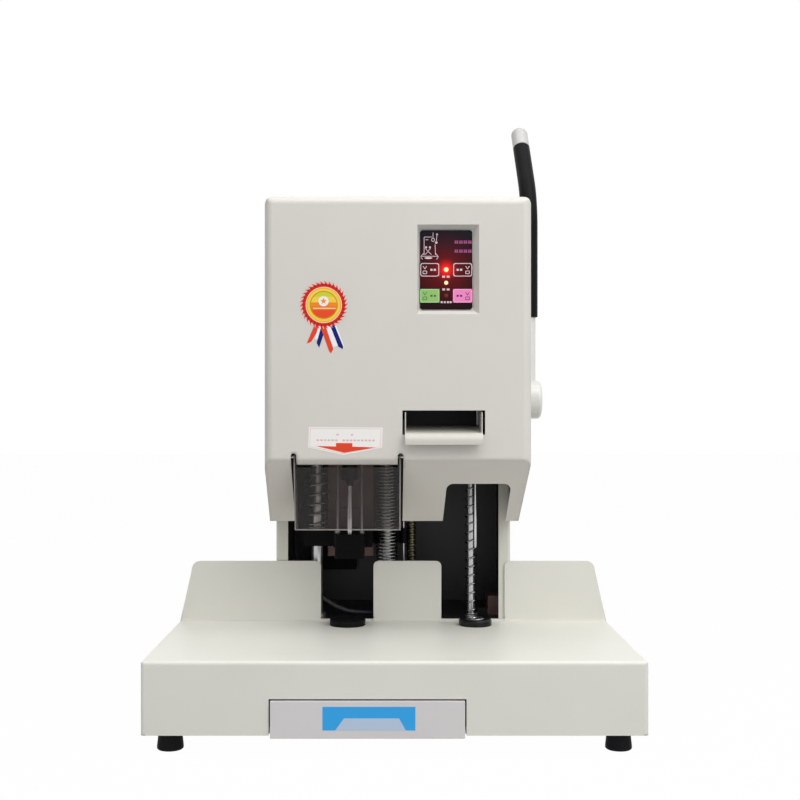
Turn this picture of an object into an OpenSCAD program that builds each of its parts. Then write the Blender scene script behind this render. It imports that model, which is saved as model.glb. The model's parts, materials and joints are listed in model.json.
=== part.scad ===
// Desk riveting machine for binding paper stacks.
// Left station drills the stack, right station rivets a plastic tube through it.
// X is to the right, Y to the back, Z up; the origin lies on the floor under the base.

/* [Base] */
// Width of the base
base_w = 400; // [390:1:440]
// Depth of the base, drawer front not counted
base_d = 334; // [330:1:370]
// Height of the base walls
base_h = 58.5; // [56:0.5:70]
// Thickness of the bent sheet of base and column
sheet = 1.5; // [1.2:0.1:2]
// Bend radius of the sheet edges
bend_r = 3; // [2.5:0.5:5]
// Thickness of the floor plate
plate_t = 3; // [2:0.5:5]
// Thickness of the steel bed under the table
bed_t = 12; // [10:1:14]
// Height of the feet
foot_h = 16; // [12:1:22]
// Diameter of a foot at the floor
foot_d = 21.3; // [18:0.1:26]
// Distance from the base's side to a foot's centre
foot_inset_x = 20; // [16:1:30]
// Distance from the base's front and rear to a foot's centre
foot_inset_y = 22; // [18:1:30]

/* [Backstop] */
// Front face of the backstop
backstop_y = 21; // [19:0.5:21]
// Height of the backstop above the table
backstop_h = 56; // [50:1:60]
// How far each side of the backstop leans in at its top
backstop_lean = 11; // [6:1:16]
// Radius of the backstop's top corners
backstop_r = 8; // [4:1:12]
// Width of the notch behind the drill
drill_notch_w = 49; // [46:1:52]
// Width of the notch behind the riveter
rivet_notch_w = 59; // [54:1:62]
// Radius of the notches' top corners
notch_r = 5; // [2:0.5:7]

/* [Drawer] */
// Width of the drawer front
drawer_w = 153.3; // [140:0.5:160]
// Middle of the drawer front
drawer_x = -21.3; // [-25:0.1:-16]
// Height of the drawer front
drawer_h = 29.5; // [28:0.5:31]
// Lower edge of the drawer front above the floor
drawer_z = 14; // [13:0.5:15]
// Depth of the drawer
drawer_d = 155; // [130:1:160]
// How far the drawer front stands proud of the base
drawer_proud = 2; // [1.8:0.1:3]
// Gap round the drawer front
drawer_gap = 1.2; // [0.8:0.1:2]
// Wall of the drawer
drawer_wall = 1.2; // [1:0.1:1.6]

/* [Column] */
// Width of the column channel
column_w = 218.8; // [217:0.1:219]
// Front face of the column
column_y = 23; // [23:0.5:25]
// Depth of the column
column_d = 127; // [124:1:128]
// Thickness of the column sheet
column_t = 2; // [1.5:0.1:2.5]
// Width of the column's front flanges
flange_w = 11; // [8:0.5:12]
// Height of the column
column_h = 322.5; // [320:0.5:340]
// Thickness of the beam on top of the column
beam_t = 12; // [8:1:14]

/* [Head] */
// Width of the head
head_w = 231; // [230:1:236]
// Middle of the head
head_x = 3.5; // [3.5:0.1:3.7]
// Height of the head's top above the table
head_top_h = 382; // [376:0.5:400]
// Lower edge of the head above the table
head_gap = 96.3; // [92:0.1:100]
// Front face of the head
head_front = -70; // [-74:0.5:-69]
// Depth of the head
head_d = 225; // [224:1:229]
// Wall of the moulded head
head_wall = 2.2; // [1.8:0.1:2.4]
// Radius of the head's edges
head_r = 8; // [5:0.5:12]
// Depth of the sloped chin
chin_d = 58; // [54:1:60]
// How far the head's right side draws in down to the chin
chin_taper = 5.6; // [0:0.1:6]
// Distance from the head's front to the split between its covers
head_split = 145; // [130:1:160]

/* [Outlet and panel] */
// Width of the tube outlet
outlet_w = 71.3; // [60:0.1:74]
// Middle of the tube outlet
outlet_x = 43; // [41:0.5:46]
// Top of the tube outlet above the table
outlet_top = 196.8; // [192:0.1:200]
// Height of the tube outlet
outlet_h = 21; // [18:0.1:24]
// How far the scoop stands out of the head
scoop_out = 8; // [7:0.5:10]
// How far the scoop's lip hangs below the outlet
scoop_h = 8.5; // [5:0.5:10]
// How far the scoop reaches into the head
scoop_d = 40; // [30:1:44]
// Width of the panel recess at its mouth
panel_w = 53.5; // [50:0.1:58]
// Height of the panel recess at its mouth
panel_h = 77.1; // [74:0.1:84]
// Middle of the panel across the head
panel_x = 47; // [44:0.5:50]
// Middle of the panel above the table
panel_z = 318.5; // [310:0.5:322]
// Depth of the panel recess
panel_deep = 6; // [4:0.5:8]
// Slope of the recess walls
panel_bevel = 3.5; // [2:0.5:4]
// Width of a key
key_w = 17; // [14:0.5:18]
// Height of a key
key_h = 12; // [10:0.5:12.5]
// Travel of a key
key_travel = 0.5; // [0.3:0.1:0.8]

/* [Drill station] */
// Drill axis across the machine
drill_x = -40; // [-41:0.5:-39]
// Diameter of the hollow drill bit
bit_d = 5; // [4:0.5:6]
// Bore of the hollow drill bit
bit_bore = 3.6; // [2.6:0.1:3.6]
// Height of the bit's tip above the table at rest
bit_gap = 66.5; // [66:0.1:68]
// Travel of the drill
drill_travel = 61; // [56:0.5:61]
// Diameter of the chuck
chuck_d = 16.5; // [14:0.5:18]
// Lower face of the carriage above the table
carriage_gap = 151.5; // [151:0.5:153]
// Height of the carriage
carriage_h = 36; // [32:1:38]
// Diameter of the two guide columns
guide_d = 10.7; // [10:0.1:12]
// Distance between the guide columns
guide_span = 66; // [65:0.5:67]
// Middle between the guide columns
guide_x = -39; // [-39.5:0.1:-38.5]
// Distance of the guide columns behind the drill
guide_y = 38; // [37:0.5:38.5]
// Outer diameter of the return spring
return_spring_d = 22; // [20:0.5:22.5]
// Wire of the return spring
return_wire = 1.6; // [1.2:0.1:1.8]
// Turns of the return spring
return_turns = 48; // [44:1:50]
// Outer diameter of the presser spring
presser_spring_d = 23.5; // [20:0.5:24]
// Wire of the presser spring
presser_wire = 1.8; // [1.4:0.1:2]
// Turns of the presser spring
presser_turns = 9.5; // [8:0.5:11]
// Lower face of the presser foot above the table
presser_gap = 61.5; // [61:0.5:63]
// Height of the presser foot
foot_block_h = 8; // [6:0.5:9]
// Width of the presser foot
foot_w = 27; // [26:0.5:30]
// Height of the presser crosshead
crosshead_h = 14.4; // [12:0.1:16]
// Diameter of the feed screw
screw_d = 9.5; // [8:0.5:10]
// Diameter of the drill motor
motor_d = 56; // [48:1:60]
// Height of the drill motor
motor_h = 82; // [76:1:90]
// Width of the feed motor
feed_motor_w = 42; // [38:1:42]
// Height of the feed motor
feed_motor_h = 46; // [40:1:50]
// Diameter of the drill pad
pad_d = 32.6; // [30:0.1:36]
// Height of the drill pad
pad_h = 5.2; // [4:0.1:5.4]
// Distance of the pad's centre from the drill axis
pad_shift = 2; // [0:0.5:4]

/* [Guard] */
// Width of the tab that hangs between the guard's slots
tab_w = 87.4; // [84:0.1:88]
// Thickness of the clear guard
guard_t = 2.5; // [2:0.1:3]
// Lower edge of the guard above the table
guard_gap = 91.5; // [90:0.5:94]

/* [Rivet station] */
// Rivet axis across the machine
rivet_x = 75; // [74.5:0.1:75.5]
// Height of the needle's tip above the table at rest
needle_gap = 68.9; // [68.5:0.1:70]
// Diameter of the needle
needle_d = 2.4; // [2:0.1:3]
// Diameter of the ram's guide column
ram_column_d = 7; // [6:0.5:8]
// Outer diameter of the ram spring
ram_spring_d = 11.4; // [10.5:0.1:12]
// Wire of the ram spring
ram_wire = 1.4; // [1:0.1:1.6]
// Turns of the ram spring
ram_turns = 19; // [16:0.5:21]
// Diameter of the anvil
anvil_d = 30; // [26:0.5:34]
// Height of the anvil
anvil_h = 6; // [5:0.1:7]
// Module of the rack and pinion
gear_module = 2; // [2:0.1:2]
// Teeth of the pinion
pinion_teeth = 30; // [30:1:30]
// Width of rack and pinion
gear_w = 12; // [10:0.5:13]

/* [Lever] */
// Height of the lever's axis above the table
lever_h = 206.5; // [206:0.5:208]
// Diameter of the lever's hub
hub_d = 36; // [30:1:40]
// Width of the lever's hub
hub_w = 18.5; // [17.5:0.5:24]
// Gap between the head and the hub
hub_gap = 1.5; // [1:0.5:3]
// Diameter of the lever's arm
arm_d = 12; // [10:0.5:12.5]
// Diameter of the lever's grip
grip_d = 16; // [15:0.5:20]
// Length of the arm's straight part above the axis
arm_straight = 162; // [150:1:170]
// Bend radius of the arm
arm_bend_r = 80; // [60:1:100]
// Bend angle of the arm
arm_bend = 36; // [25:1:40]
// Turn of the bend towards the head
arm_yaw = 4; // [0:0.5:5]
// Length of the arm behind its bend
arm_tail = 45; // [35:1:60]
// Length of the white end cap
cap_l = 24; // [18:1:30]

/* [Hidden] */
$fn = 48;

fit = 0.05;          // radial clearance of seats and running fits
gap = 0.3;           // clearance between pieces that move past each other
mould_gap = 0.2;     // clearance between covers and what they hold

// Heights
table_z = foot_h + base_h;
plate_z = foot_h + plate_t;
bed_z = table_z - sheet - bed_t;
base_front = -(base_d + drawer_proud) / 2 + drawer_proud;
base_rear = base_front + base_d;
deck_y = backstop_y + sheet;
head_top = table_z + head_top_h;
head_low = table_z + head_gap;
head_left = head_x - head_w / 2;
head_right = head_x + head_w / 2;
head_back = head_front + head_d;
split_y = head_front + head_split;
fold_z = head_low + chin_d;
column_top = table_z + column_h;
beam_z = column_top - beam_t;
column_in = column_w / 2 - column_t;
column_back = column_y + column_d;
column_r = column_t + 0.6;          // outer radius of the column's bends

// Base, bed and drawer
foot_xs = [-base_w / 2 + foot_inset_x, base_w / 2 - foot_inset_x];
foot_ys = [base_front + foot_inset_y, base_rear - foot_inset_y];
foot_screw_d = 5;
foot_recess_z = 5;
pillar_x = column_w / 2 - 1;
pillar_ys = [-2, column_back - 10];
drawer_l = drawer_x - drawer_w / 2;
drawer_r = drawer_x + drawer_w / 2;
drawer_top = drawer_z + drawer_h;
box_front = base_front - drawer_proud + 4;

// Drill station
guide_xs = [guide_x - guide_span / 2, guide_x + guide_span / 2];
carriage_z = table_z + carriage_gap;
bit_tip = table_z + bit_gap;
presser_z = table_z + presser_gap;
crosshead_z = presser_z + foot_block_h;
crosshead_top = crosshead_z + crosshead_h;
screw_x = guide_xs[1] + 23.5;
screw_y = guide_y + 24;
screw_seat_h = 9.5;
bush_d = 16;
rod_xs = [drill_x - 11, drill_x + 11];
rod_d = 2.4;
rod_play = 6.5;
motor_cap_h = 12;
spindle_d = 8;
spindle_top = carriage_z + carriage_h + 28;
presser_rod_d = 2;
presser_rod_x = drill_x + 50;
presser_rod_y = guide_y + 14;
pad_x = drill_x - pad_shift;
pad_seat_d = pad_d - 12;
pad_seat_h = bed_t - 2;
chuck_z = bit_tip + 66;
nut_d = 14;
boss_d = 24;                        // boss of the crosshead on its column
guide_collar = [5, 6];              // height, and how much wider than the column
ram_collar = [3, 5];
board_t = 3;
board_x = [drill_x - 23, drill_x + 21];
board_y = guide_y + 27;

// Rivet station
gear_r = gear_module * pinion_teeth / 2;
pitch = PI * gear_module;
shaft_y = guide_y - 4;
shaft_z = table_z + lever_h;
shaft_d = 16;
rack_y = shaft_y - gear_r;          // pitch line of the rack
rack_back = rack_y - 13;            // smooth back of the rack
rack_below = 46;
rack_above = 82;
rack_low = shaft_z - rack_below;    // seat of the rack on the bracket
bracket_h = 20;
bracket_z = rack_low - bracket_h;
rack_top = shaft_z + rack_above;
ram_column_x = rivet_x - 1.5;
ram_column_y = guide_y;
ram_bore_d = ram_column_d + 2 * fit;
cheek_t = 5;
cheek_in = gear_w / 2 + 2;
casting_z = bracket_z + bracket_h + 6;
needle_z = table_z + needle_gap;
anvil_top = table_z + anvil_h;
die_d = 16;

// Guard
guard_z = table_z + guard_gap;
guard_front_y = head_front + 4;
guard_axis_y = head_front + 8;
guard_axis_z = fold_z + 2.2;
guard_pin_d = 2.5;
guard_ear_r = 3;
guard_top_z = guard_axis_z - 9;
guard_tilt = 16;                    // how far the guard's lower edge lies behind its upper one
slot_w = 4.9;
slot_left = drill_x - 49;
slot_right = slot_left + 2 * slot_w + tab_w;
guard_left = slot_left + slot_w - guard_t - mould_gap;
guard_right = slot_right - slot_w + guard_t + mould_gap;
tab_z = fold_z - 4.5;               // lower edge of the tab between the slots
slot_top = guard_axis_z + guard_ear_r + 0.3;

// Right cut-out of the chin
chin_cut_l = rivet_x - 28.6;
chin_cut_r = rivet_x + 28.2;
chin_cut_top = head_low + 35.9;
chin_cut_lean = 2;
chin_cut_fillet = 6;

// Outlet and panel
outlet_z = table_z + outlet_top - outlet_h;
outlet_l = outlet_x - outlet_w / 2;
outlet_r = outlet_x + outlet_w / 2;
scoop_gap = 2.1;
scoop_t = 1.8;
scoop_rise = 6;                     // how far the scoop's floor climbs towards its rear
panel_mid_z = table_z + panel_z;
panel_face_y = head_front + panel_deep;
floor_x = panel_x - 1.7;              // the right wall of the recess slopes more
panel_floor_w = panel_w - 2 * panel_bevel + 0.7;
panel_floor_h = panel_h - 2 * panel_bevel - 0.4;
overlay_t = 1.2;
key_dx = 14.25;                      // distance of a key's centre from the panel's middle
key_zs = [0, -22.5];                // heights of the key rows from the panel's middle
led_zs = [0.2, -11.2, -22.5];       // heights of the lamps from the panel's middle
led_d = 3;

// Lever
hub_x = head_right + hub_gap;
arm_x = hub_x + hub_w * 0.415;
arm_socket = 7;
grip_z = 77.5;                      // start of the grip above the axis
bar_sides = 24;
bend_steps = 8;

// Rear inlet
inlet_x = -60;
inlet_z = table_z + 46;
inlet_w = 52;
inlet_h = 27;
rocker_w = 15;
rocker_pin_d = 3;
rocker_tilt = 7;
rocker_y = column_back - 2;

// Wiring sleeve from the control board, behind the drill's notch and down through the deck
sleeve_d = 4.5;
sleeve_hole = [2, 94, 16];
sleeve_route = [[-80, 125.2, 209], [-81, 119, 207], [-85, 111, 199], [-90, 103, 185],
    [-94, 94, 168], [-96, 83, 150], [-95, 72, 134], [-92, 63, 121], [-87, 57, 110.5],
    [-80, 54.5, 101.5], [-72, 54, 94.5], [-64, 54, 88.5], [-54, 54, 82.8], [-44, 54, 79],
    [-34, 54, 77.5], [-22, 54, 77.2], [-10, 57, 77.2], [-2, 64, 77.2], [1, 74, 77.2],
    [2, 82, 77.2], [2, 88, 76.9], [2, 92.5, 74], [2, 94, 69], [2, 94, 64], [2, 94, 57]];
control_board_y = column_back - 16;
control_w = 110;
control_h = 120;
control_above = 84.5;               // the control board's lower edge above the inlet

// Points of an arc, both ends included
function arc(x, y, r, a0, a1, n = 8) =
    [for (i = [0:n]) [x + r * cos(a0 + (a1 - a0) * i / n), y + r * sin(a0 + (a1 - a0) * i / n)]];

// Rectangle from its corners; the four radii run from the lower left round to the upper left
function rounded(x0, x1, y0, y1, r) = concat(
    arc(x0 + r[0], y0 + r[0], r[0], 180, 270),
    arc(x1 - r[1], y0 + r[1], r[1], 270, 360),
    arc(x1 - r[2], y1 - r[2], r[2], 0, 90),
    arc(x0 + r[3], y1 - r[3], r[3], 90, 180));

module box(x, y, z) {
    translate([x[0], y[0], z[0]]) cube([x[1] - x[0], y[1] - y[0], z[1] - z[0]]);
}

// Upright round bar
module bar(x, y, z0, z1, d) {
    translate([x, y, z0]) cylinder(d = d, h = z1 - z0);
}

// Round bar along X
module bar_x(x0, x1, y, z, d) {
    translate([x0, y, z]) rotate([0, 90, 0]) cylinder(d = d, h = x1 - x0);
}

// Round bar along Y
module bar_y(x, y0, y1, z, d) {
    translate([x, y1, z]) rotate([90, 0, 0]) cylinder(d = d, h = y1 - y0);
}

// Side view drawn in Y and Z, carried along X
module along_x(x0, x1) {
    translate([x0, 0, 0]) rotate([90, 0, 90]) linear_extrude(x1 - x0) children();
}

// Front view drawn in X and Z, carried along Y
module along_y(y0, y1) {
    translate([0, y1, 0]) rotate([90, 0, 0]) linear_extrude(y1 - y0) children();
}

// Plan drawn in X and Y, carried along Z
module along_z(z0, z1) {
    translate([0, 0, z0]) linear_extrude(z1 - z0) children();
}

// Coil of a compression spring standing on z0, its wire ending flush with both seats
module coil(x, y, z0, z1, d, wire, turns) {
    per_turn = 12;
    sides = 5;
    steps = round(turns * per_turn);
    r = (d - wire) / 2;
    low = z0 + wire / 2 + fit;
    rise = z1 - z0 - wire - 2 * fit;
    points = [for (i = [0:steps]) for (k = [0:sides - 1])
        let (a = 360 * i / per_turn, b = 360 * k / sides, rr = r + wire / 2 * cos(b))
        [x + rr * cos(a), y + rr * sin(a), low + rise * i / steps + wire / 2 * sin(b)]];
    walls = [for (i = [0:steps - 1]) for (k = [0:sides - 1])
        let (a = i * sides + k, b = i * sides + (k + 1) % sides)
        [a, a + sides, b + sides, b]];
    ends = [[for (k = [0:sides - 1]) k], [for (k = [sides - 1:-1:0]) steps * sides + k]];
    polyhedron(points, concat(walls, ends), convexity = 4);
}

// ---- base ----

// Outer or inner form of the base covers, drawn in by the wall
module base_form(wall, y0, y1) {
    r = bend_r - min(wall, bend_r - 0.5);
    x = base_w / 2 - wall;
    low = wall > 0 ? foot_h - 1 : foot_h;
    intersection() {
        along_x(-x, x) polygon(rounded(base_front + wall, base_rear - wall, low,
            table_z - wall, [0.01, 0.01, r, r]));
        along_y(y0, y1) polygon(rounded(-x, x, low, table_z - wall, [0.01, 0.01, r, r]));
        along_z(low, table_z) polygon(rounded(-x, x, base_front + wall, base_rear - wall,
            [r, r, r, r]));
    }
}

// Front view of the backstop with its two notches
module backstop_outline() {
    w = base_w / 2 - 1;
    top = table_z + backstop_h;
    low = table_z - sheet;
    difference() {
        polygon(concat([[-w, low], [w, low]],
            arc(w - backstop_lean - backstop_r, top - backstop_r, backstop_r, 0, 90),
            arc(-w + backstop_lean + backstop_r, top - backstop_r, backstop_r, 90, 180)));
        for (n = [[drill_x - 3, drill_notch_w], [rivet_x - 0.7, rivet_notch_w]])
            notch_outline(n[0] - n[1] / 2, n[0] + n[1] / 2, top);
    }
}

module notch_outline(x0, x1, top) {
    floor_z = table_z + 2;
    translate([x0, floor_z]) square([x1 - x0, backstop_h]);
    for (s = [-1, 1]) {
        x = s < 0 ? x0 : x1;
        difference() {
            translate([min(x, x + s * notch_r), top - notch_r]) square([notch_r, notch_r + 1]);
            translate([x + s * notch_r, top - notch_r]) circle(r = notch_r);
        }
    }
}

module drawer_opening() {
    box([drawer_x - drawer_w / 2 - drawer_gap, drawer_x + drawer_w / 2 + drawer_gap],
        [base_front - 1, base_front + 10], [foot_h - 2, drawer_z + drawer_h + drawer_gap]);
}

module base_front_cover() {
    color("gainsboro") difference() {
        union() {
            difference() {
                base_form(0, base_front, deck_y);
                base_form(sheet, base_front, deck_y + 1);
            }
            along_y(backstop_y, deck_y) backstop_outline();
        }
        drawer_opening();
        bar(pad_x, 0, table_z - 5, table_z + 1, pad_seat_d + 2 * fit);
        bar(rivet_x, 0, table_z - 5, table_z + 1, anvil_d - 12 + 2 * fit);
    }
}

module base_rear_cover() {
    color("gainsboro") difference() {
        base_form(0, deck_y + fit, base_rear);
        base_form(sheet, deck_y - 1, base_rear);
        for (x = guide_xs) bar(x, guide_y, table_z - 5, table_z + 1, guide_d + 2 * fit);
        bar(ram_column_x, ram_column_y, table_z - 5, table_z + 1, ram_column_d + 2 * fit);
        bar(sleeve_hole[0], sleeve_hole[1], table_z - 5, table_z + 1, sleeve_hole[2]);
        for (x = [-150, 150]) for (i = [0:5])
            box([x - 22, x + 22], [base_rear - 5, base_rear + 1],
                [foot_h + 16 + 6 * i, foot_h + 19 + 6 * i]);
    }
}

module base_plate() {
    x = base_w / 2 - sheet - mould_gap;
    color("silver") difference() {
        along_z(foot_h, plate_z) polygon(rounded(-x, x, base_front + sheet + mould_gap,
            base_rear - sheet - mould_gap, bend_r * [1, 1, 1, 1]));
        box([drawer_x - drawer_w / 2 - drawer_gap, drawer_x + drawer_w / 2 + drawer_gap],
            [base_front, base_front + 6], [foot_h - 1, plate_z + 1]);
        for (x = foot_xs) for (y = foot_ys)
            bar(x, y, foot_h - 1, plate_z + 1, foot_screw_d + 2 * fit);
    }
}

module bed_plate() {
    color("dimgray") difference() {
        box([-column_w / 2 - 6, column_w / 2 + 6], [-24, column_back], [bed_z, table_z - sheet]);
        for (x = guide_xs) bar(x, guide_y, bed_z - 1, table_z, guide_d + 2 * fit);
        bar(ram_column_x, ram_column_y, bed_z - 1, table_z, ram_column_d + 2 * fit);
        bar(sleeve_hole[0], sleeve_hole[1], bed_z - 1, table_z, sleeve_hole[2]);
        bar(pad_x, 0, bed_z - 1, table_z, pad_seat_d + 2 * fit);
        bar(rivet_x, 0, bed_z - 1, table_z, anvil_d - 12 + 2 * fit);
    }
}

module bed_pillars() {
    color("darkgray") for (x = [-pillar_x, pillar_x]) for (y = pillar_ys)
        bar(x, y, plate_z, bed_z, 14);
}

// Rubber foot with its recess for the screw head
module foot() {
    rotate_extrude() polygon([[foot_screw_d / 2 + fit, foot_recess_z],
        [foot_screw_d / 2 + fit, foot_h], [foot_d / 2 - 1.4, foot_h], [foot_d / 2, 3],
        [foot_d / 2, 1], [foot_d / 2 - 1, 0], [5.6, 0], [5.6, foot_recess_z]]);
}

module rubber_feet() {
    color("black") for (x = foot_xs) for (y = foot_ys) translate([x, y, 0]) foot();
}

module foot_screws() {
    color("silver") for (x = foot_xs) for (y = foot_ys) {
        bar(x, y, foot_recess_z, plate_z + 6, foot_screw_d);
        bar(x, y, foot_recess_z - 3, foot_recess_z, 9);
        difference() {
            translate([x, y, plate_z]) cylinder(d = 9.2, h = 4, $fn = 6);
            bar(x, y, plate_z - 1, plate_z + 5, foot_screw_d + 2 * fit);
        }
    }
}

// ---- drawer ----

// Bent front with returned edges
module drawer_front() {
    color("gainsboro") difference() {
        box([drawer_l, drawer_r], [base_front - drawer_proud, box_front], [drawer_z, drawer_top]);
        box([drawer_l + sheet, drawer_r - sheet], [base_front - drawer_proud + sheet, box_front + 1],
            [drawer_z + sheet, drawer_top - sheet]);
    }
}

module drawer_box() {
    x0 = drawer_l + sheet + 2.5;
    x1 = drawer_r - sheet - 2.5;
    y0 = base_front - drawer_proud + sheet;
    y1 = y0 + drawer_d;
    z1 = drawer_top - sheet - 0.5;
    z0 = plate_z + gap;
    color("silver") difference() {
        box([x0, x1], [y0, y1], [z0, z1]);
        box([x0 + drawer_wall, x1 - drawer_wall], [y0 + drawer_wall, y1 - drawer_wall],
            [z0 + drawer_wall, z1 + 1]);
    }
}

// Two angle rails beside the drawer and its rear stop
module drawer_runners() {
    y0 = base_front + 8;
    y1 = base_front - drawer_proud + sheet + drawer_d;
    inner = drawer_w / 2 - sheet - 2.5 + gap;
    color("silver") {
        for (s = [-1, 1]) translate([drawer_x, 0, 0]) mirror([s < 0 ? 1 : 0, 0, 0]) {
            box([inner, inner + 1.5], [y0, y1], [plate_z, plate_z + 14]);
            box([inner + 1.5, inner + 9], [y0, y1], [plate_z, plate_z + 1.5]);
        }
        box([drawer_x - 12, drawer_x + 12], [y1 + gap, y1 + gap + 1.5], [plate_z, plate_z + 14]);
        box([drawer_x - 12, drawer_x + 12], [y1 + gap + 1.5, y1 + 10], [plate_z, plate_z + 1.5]);
    }
}

// ---- column ----

module column_frame() {
    x = column_w / 2;
    color("lightgray") difference() {
        union() {
            difference() {
                along_z(table_z, column_top) polygon(rounded(-x, x, column_y, column_back,
                    column_r * [1, 1, 1, 1]));
                along_z(table_z - 1, column_top + 1) polygon(rounded(-column_in, column_in,
                    column_y + column_t, column_back - column_t,
                    (column_r - column_t) * [1, 1, 1, 1]));
                box([-x + flange_w, x - flange_w], [column_y - 1, column_y + column_t + 1],
                    [table_z - 1, column_top + 1]);
            }
            for (s = [-1, 1]) box([s < 0 ? -column_in : column_in - 16,
                s < 0 ? -column_in + 16 : column_in], [column_back - 62, column_back - 22],
                [table_z, table_z + column_t]);
        }
        box([inlet_x - inlet_w / 2 + 3, inlet_x + inlet_w / 2 - 3],
            [column_back - 10, column_back + 1],
            [inlet_z - inlet_h / 2 + 2, inlet_z + inlet_h / 2 - 2]);
        bar_x(column_in - 1, x + 1, shaft_y, shaft_z, shaft_d + 2);
    }
}

module top_beam() {
    x = column_in - mould_gap;
    x_front = column_w / 2 - flange_w - mould_gap;
    color("silver") difference() {
        union() {
            box([-x, x], [column_y + column_t + mould_gap, column_back - column_t - mould_gap],
                [beam_z, column_top]);
            box([-x_front, x_front], [-20, column_y + column_t + mould_gap], [beam_z, column_top]);
        }
        for (x = guide_xs) bar(x, guide_y, beam_z - 1, column_top + 1, guide_d + 2 * fit);
        bar(screw_x, screw_y, beam_z - 1, column_top + 1, screw_d + 2 * gap);
        box([rivet_x - gear_w / 2 - gap, rivet_x + gear_w / 2 + gap],
            [rack_back - gap, rack_y + gear_module], [beam_z - 1, column_top + 1]);
    }
}

// ---- head ----

// Outer or inner form of the head, drawn in by the wall
module head_form(wall, y0, y1) {
    r = head_r - wall;
    low = wall > 0 ? head_low - 1 : head_low;
    front = head_front + wall;
    left = head_left + wall;
    right = head_right - wall;
    slope_shift = wall * (sqrt(2) - 1);
    intersection() {
        along_x(left, right) polygon(concat(
            [[front + chin_d + slope_shift + head_low - low, low], [head_back - wall, low]],
            arc(head_back - wall - r, head_top - wall - r, r, 0, 90),
            arc(front + r, head_top - wall - r, r, 90, 180),
            [[front, fold_z + slope_shift]]));
        along_y(y0, y1) polygon(concat(
            [[left, low], [right - chin_taper * (fold_z - low) / chin_d, low], [right, fold_z]],
            arc(right - r, head_top - wall - r, r, 0, 90),
            arc(left + r, head_top - wall - r, r, 90, 180)));
        along_z(low, head_top) polygon(rounded(left, right, front,
            head_back - wall, [r, r, r, r]));
    }
}

// Cut-outs of the chin: drill window, its two slots and the rivet window
module chin_windows() {
    y = [head_front - 5, head_front + chin_d + 5];
    box([slot_left, slot_right], y, [head_low - 5, tab_z]);
    for (x = [slot_left, slot_right - slot_w]) {
        box([x, x + slot_w], y, [head_low - 5, slot_top - slot_w / 2]);
        bar_y(x + slot_w / 2, y[0], y[1], slot_top - slot_w / 2, slot_w);
    }
    along_y(y[0], y[1]) polygon(concat(
        [[chin_cut_l - chin_cut_lean, head_low - 5], [chin_cut_r - chin_cut_lean, head_low - 5]],
        arc(chin_cut_r - chin_cut_fillet, chin_cut_top - chin_cut_fillet, chin_cut_fillet, 0, 90),
        arc(chin_cut_l + chin_cut_fillet, chin_cut_top - chin_cut_fillet, chin_cut_fillet, 90, 180)));
}

// Pocket of the panel, its four walls sloping in to the floor
module panel_pocket() {
    y0 = head_front;
    y1 = head_front + panel_deep;
    w = panel_w / 2;
    h = panel_h / 2;
    out = panel_bevel / panel_deep;
    intersection() {
        along_z(panel_mid_z - h - 1, panel_mid_z + h + 1) polygon([
            [panel_x - w - out, y0 - 1], [panel_x + w + out, y0 - 1],
            [floor_x + panel_floor_w / 2, y1], [floor_x - panel_floor_w / 2, y1]]);
        along_x(panel_x - w - 1, panel_x + w + 1) polygon([
            [y0 - 1, panel_mid_z - h - out], [y1, panel_mid_z - panel_floor_h / 2],
            [y1, panel_mid_z + panel_floor_h / 2], [y0 - 1, panel_mid_z + h + out]]);
    }
}

module panel_boss() {
    box([panel_x - panel_w / 2 - 1, panel_x + panel_w / 2 + 1],
        [head_front + head_wall - 0.1, head_front + panel_deep + 2],
        [panel_mid_z - panel_h / 2 - 1, panel_mid_z + panel_h / 2 + 1]);
}

// Two lugs that hold a guard pin on either side of its slot
module pin_lugs() {
    for (x = [slot_left, slot_right - slot_w]) for (s = [-3, slot_w + 0.5])
        box([x + s, x + s + 2.5], [head_front + head_wall - 0.1, guard_axis_y + 4],
            [guard_axis_z - 3.5, guard_axis_z + 4]);
}

module head_front_cover() {
    color("lightgray") difference() {
        union() {
            difference() {
                head_form(0, head_front, split_y);
                head_form(head_wall, head_front, split_y + 1);
            }
            intersection() {
                union() {
                    panel_boss();
                    pin_lugs();
                }
                head_form(0, head_front, split_y);
            }
        }
        chin_windows();
        panel_pocket();
        for (i = [0:3]) along_y(panel_face_y - 1, panel_face_y + 4) key_window(i, gap);
        for (z = led_zs)
            bar_y(floor_x, panel_face_y - 1, panel_face_y + 4, panel_mid_z + z, led_d + 2 * fit);
        box([outlet_l, outlet_r], [head_front - 1, head_front + head_wall + 1],
            [outlet_z, outlet_z + outlet_h]);
        for (x = [slot_left, slot_right - slot_w])
            bar_x(x - 4, x + slot_w + 4, guard_axis_y, guard_axis_z, guard_pin_d + 2 * fit);
        bar_x(head_right - head_wall - 1, head_right + 1, shaft_y, shaft_z, shaft_d + 2);
    }
}

module head_rear_cover() {
    color("lightgray") difference() {
        head_form(0, split_y + fit, head_back);
        head_form(head_wall, split_y - 1, head_back);
        for (x = [head_x - 60, head_x, head_x + 60]) for (i = [0:7])
            box([x - 22, x + 22], [head_back - 5, head_back + 1],
                [head_top - 75 + 7 * i, head_top - 71.5 + 7 * i]);
    }
}

// ---- guard ----

module guard_pins() {
    color("silver") for (x = [slot_left, slot_right - slot_w])
        bar_x(x - 2.9, x + slot_w + 2.9, guard_axis_y, guard_axis_z, guard_pin_d);
}

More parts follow.
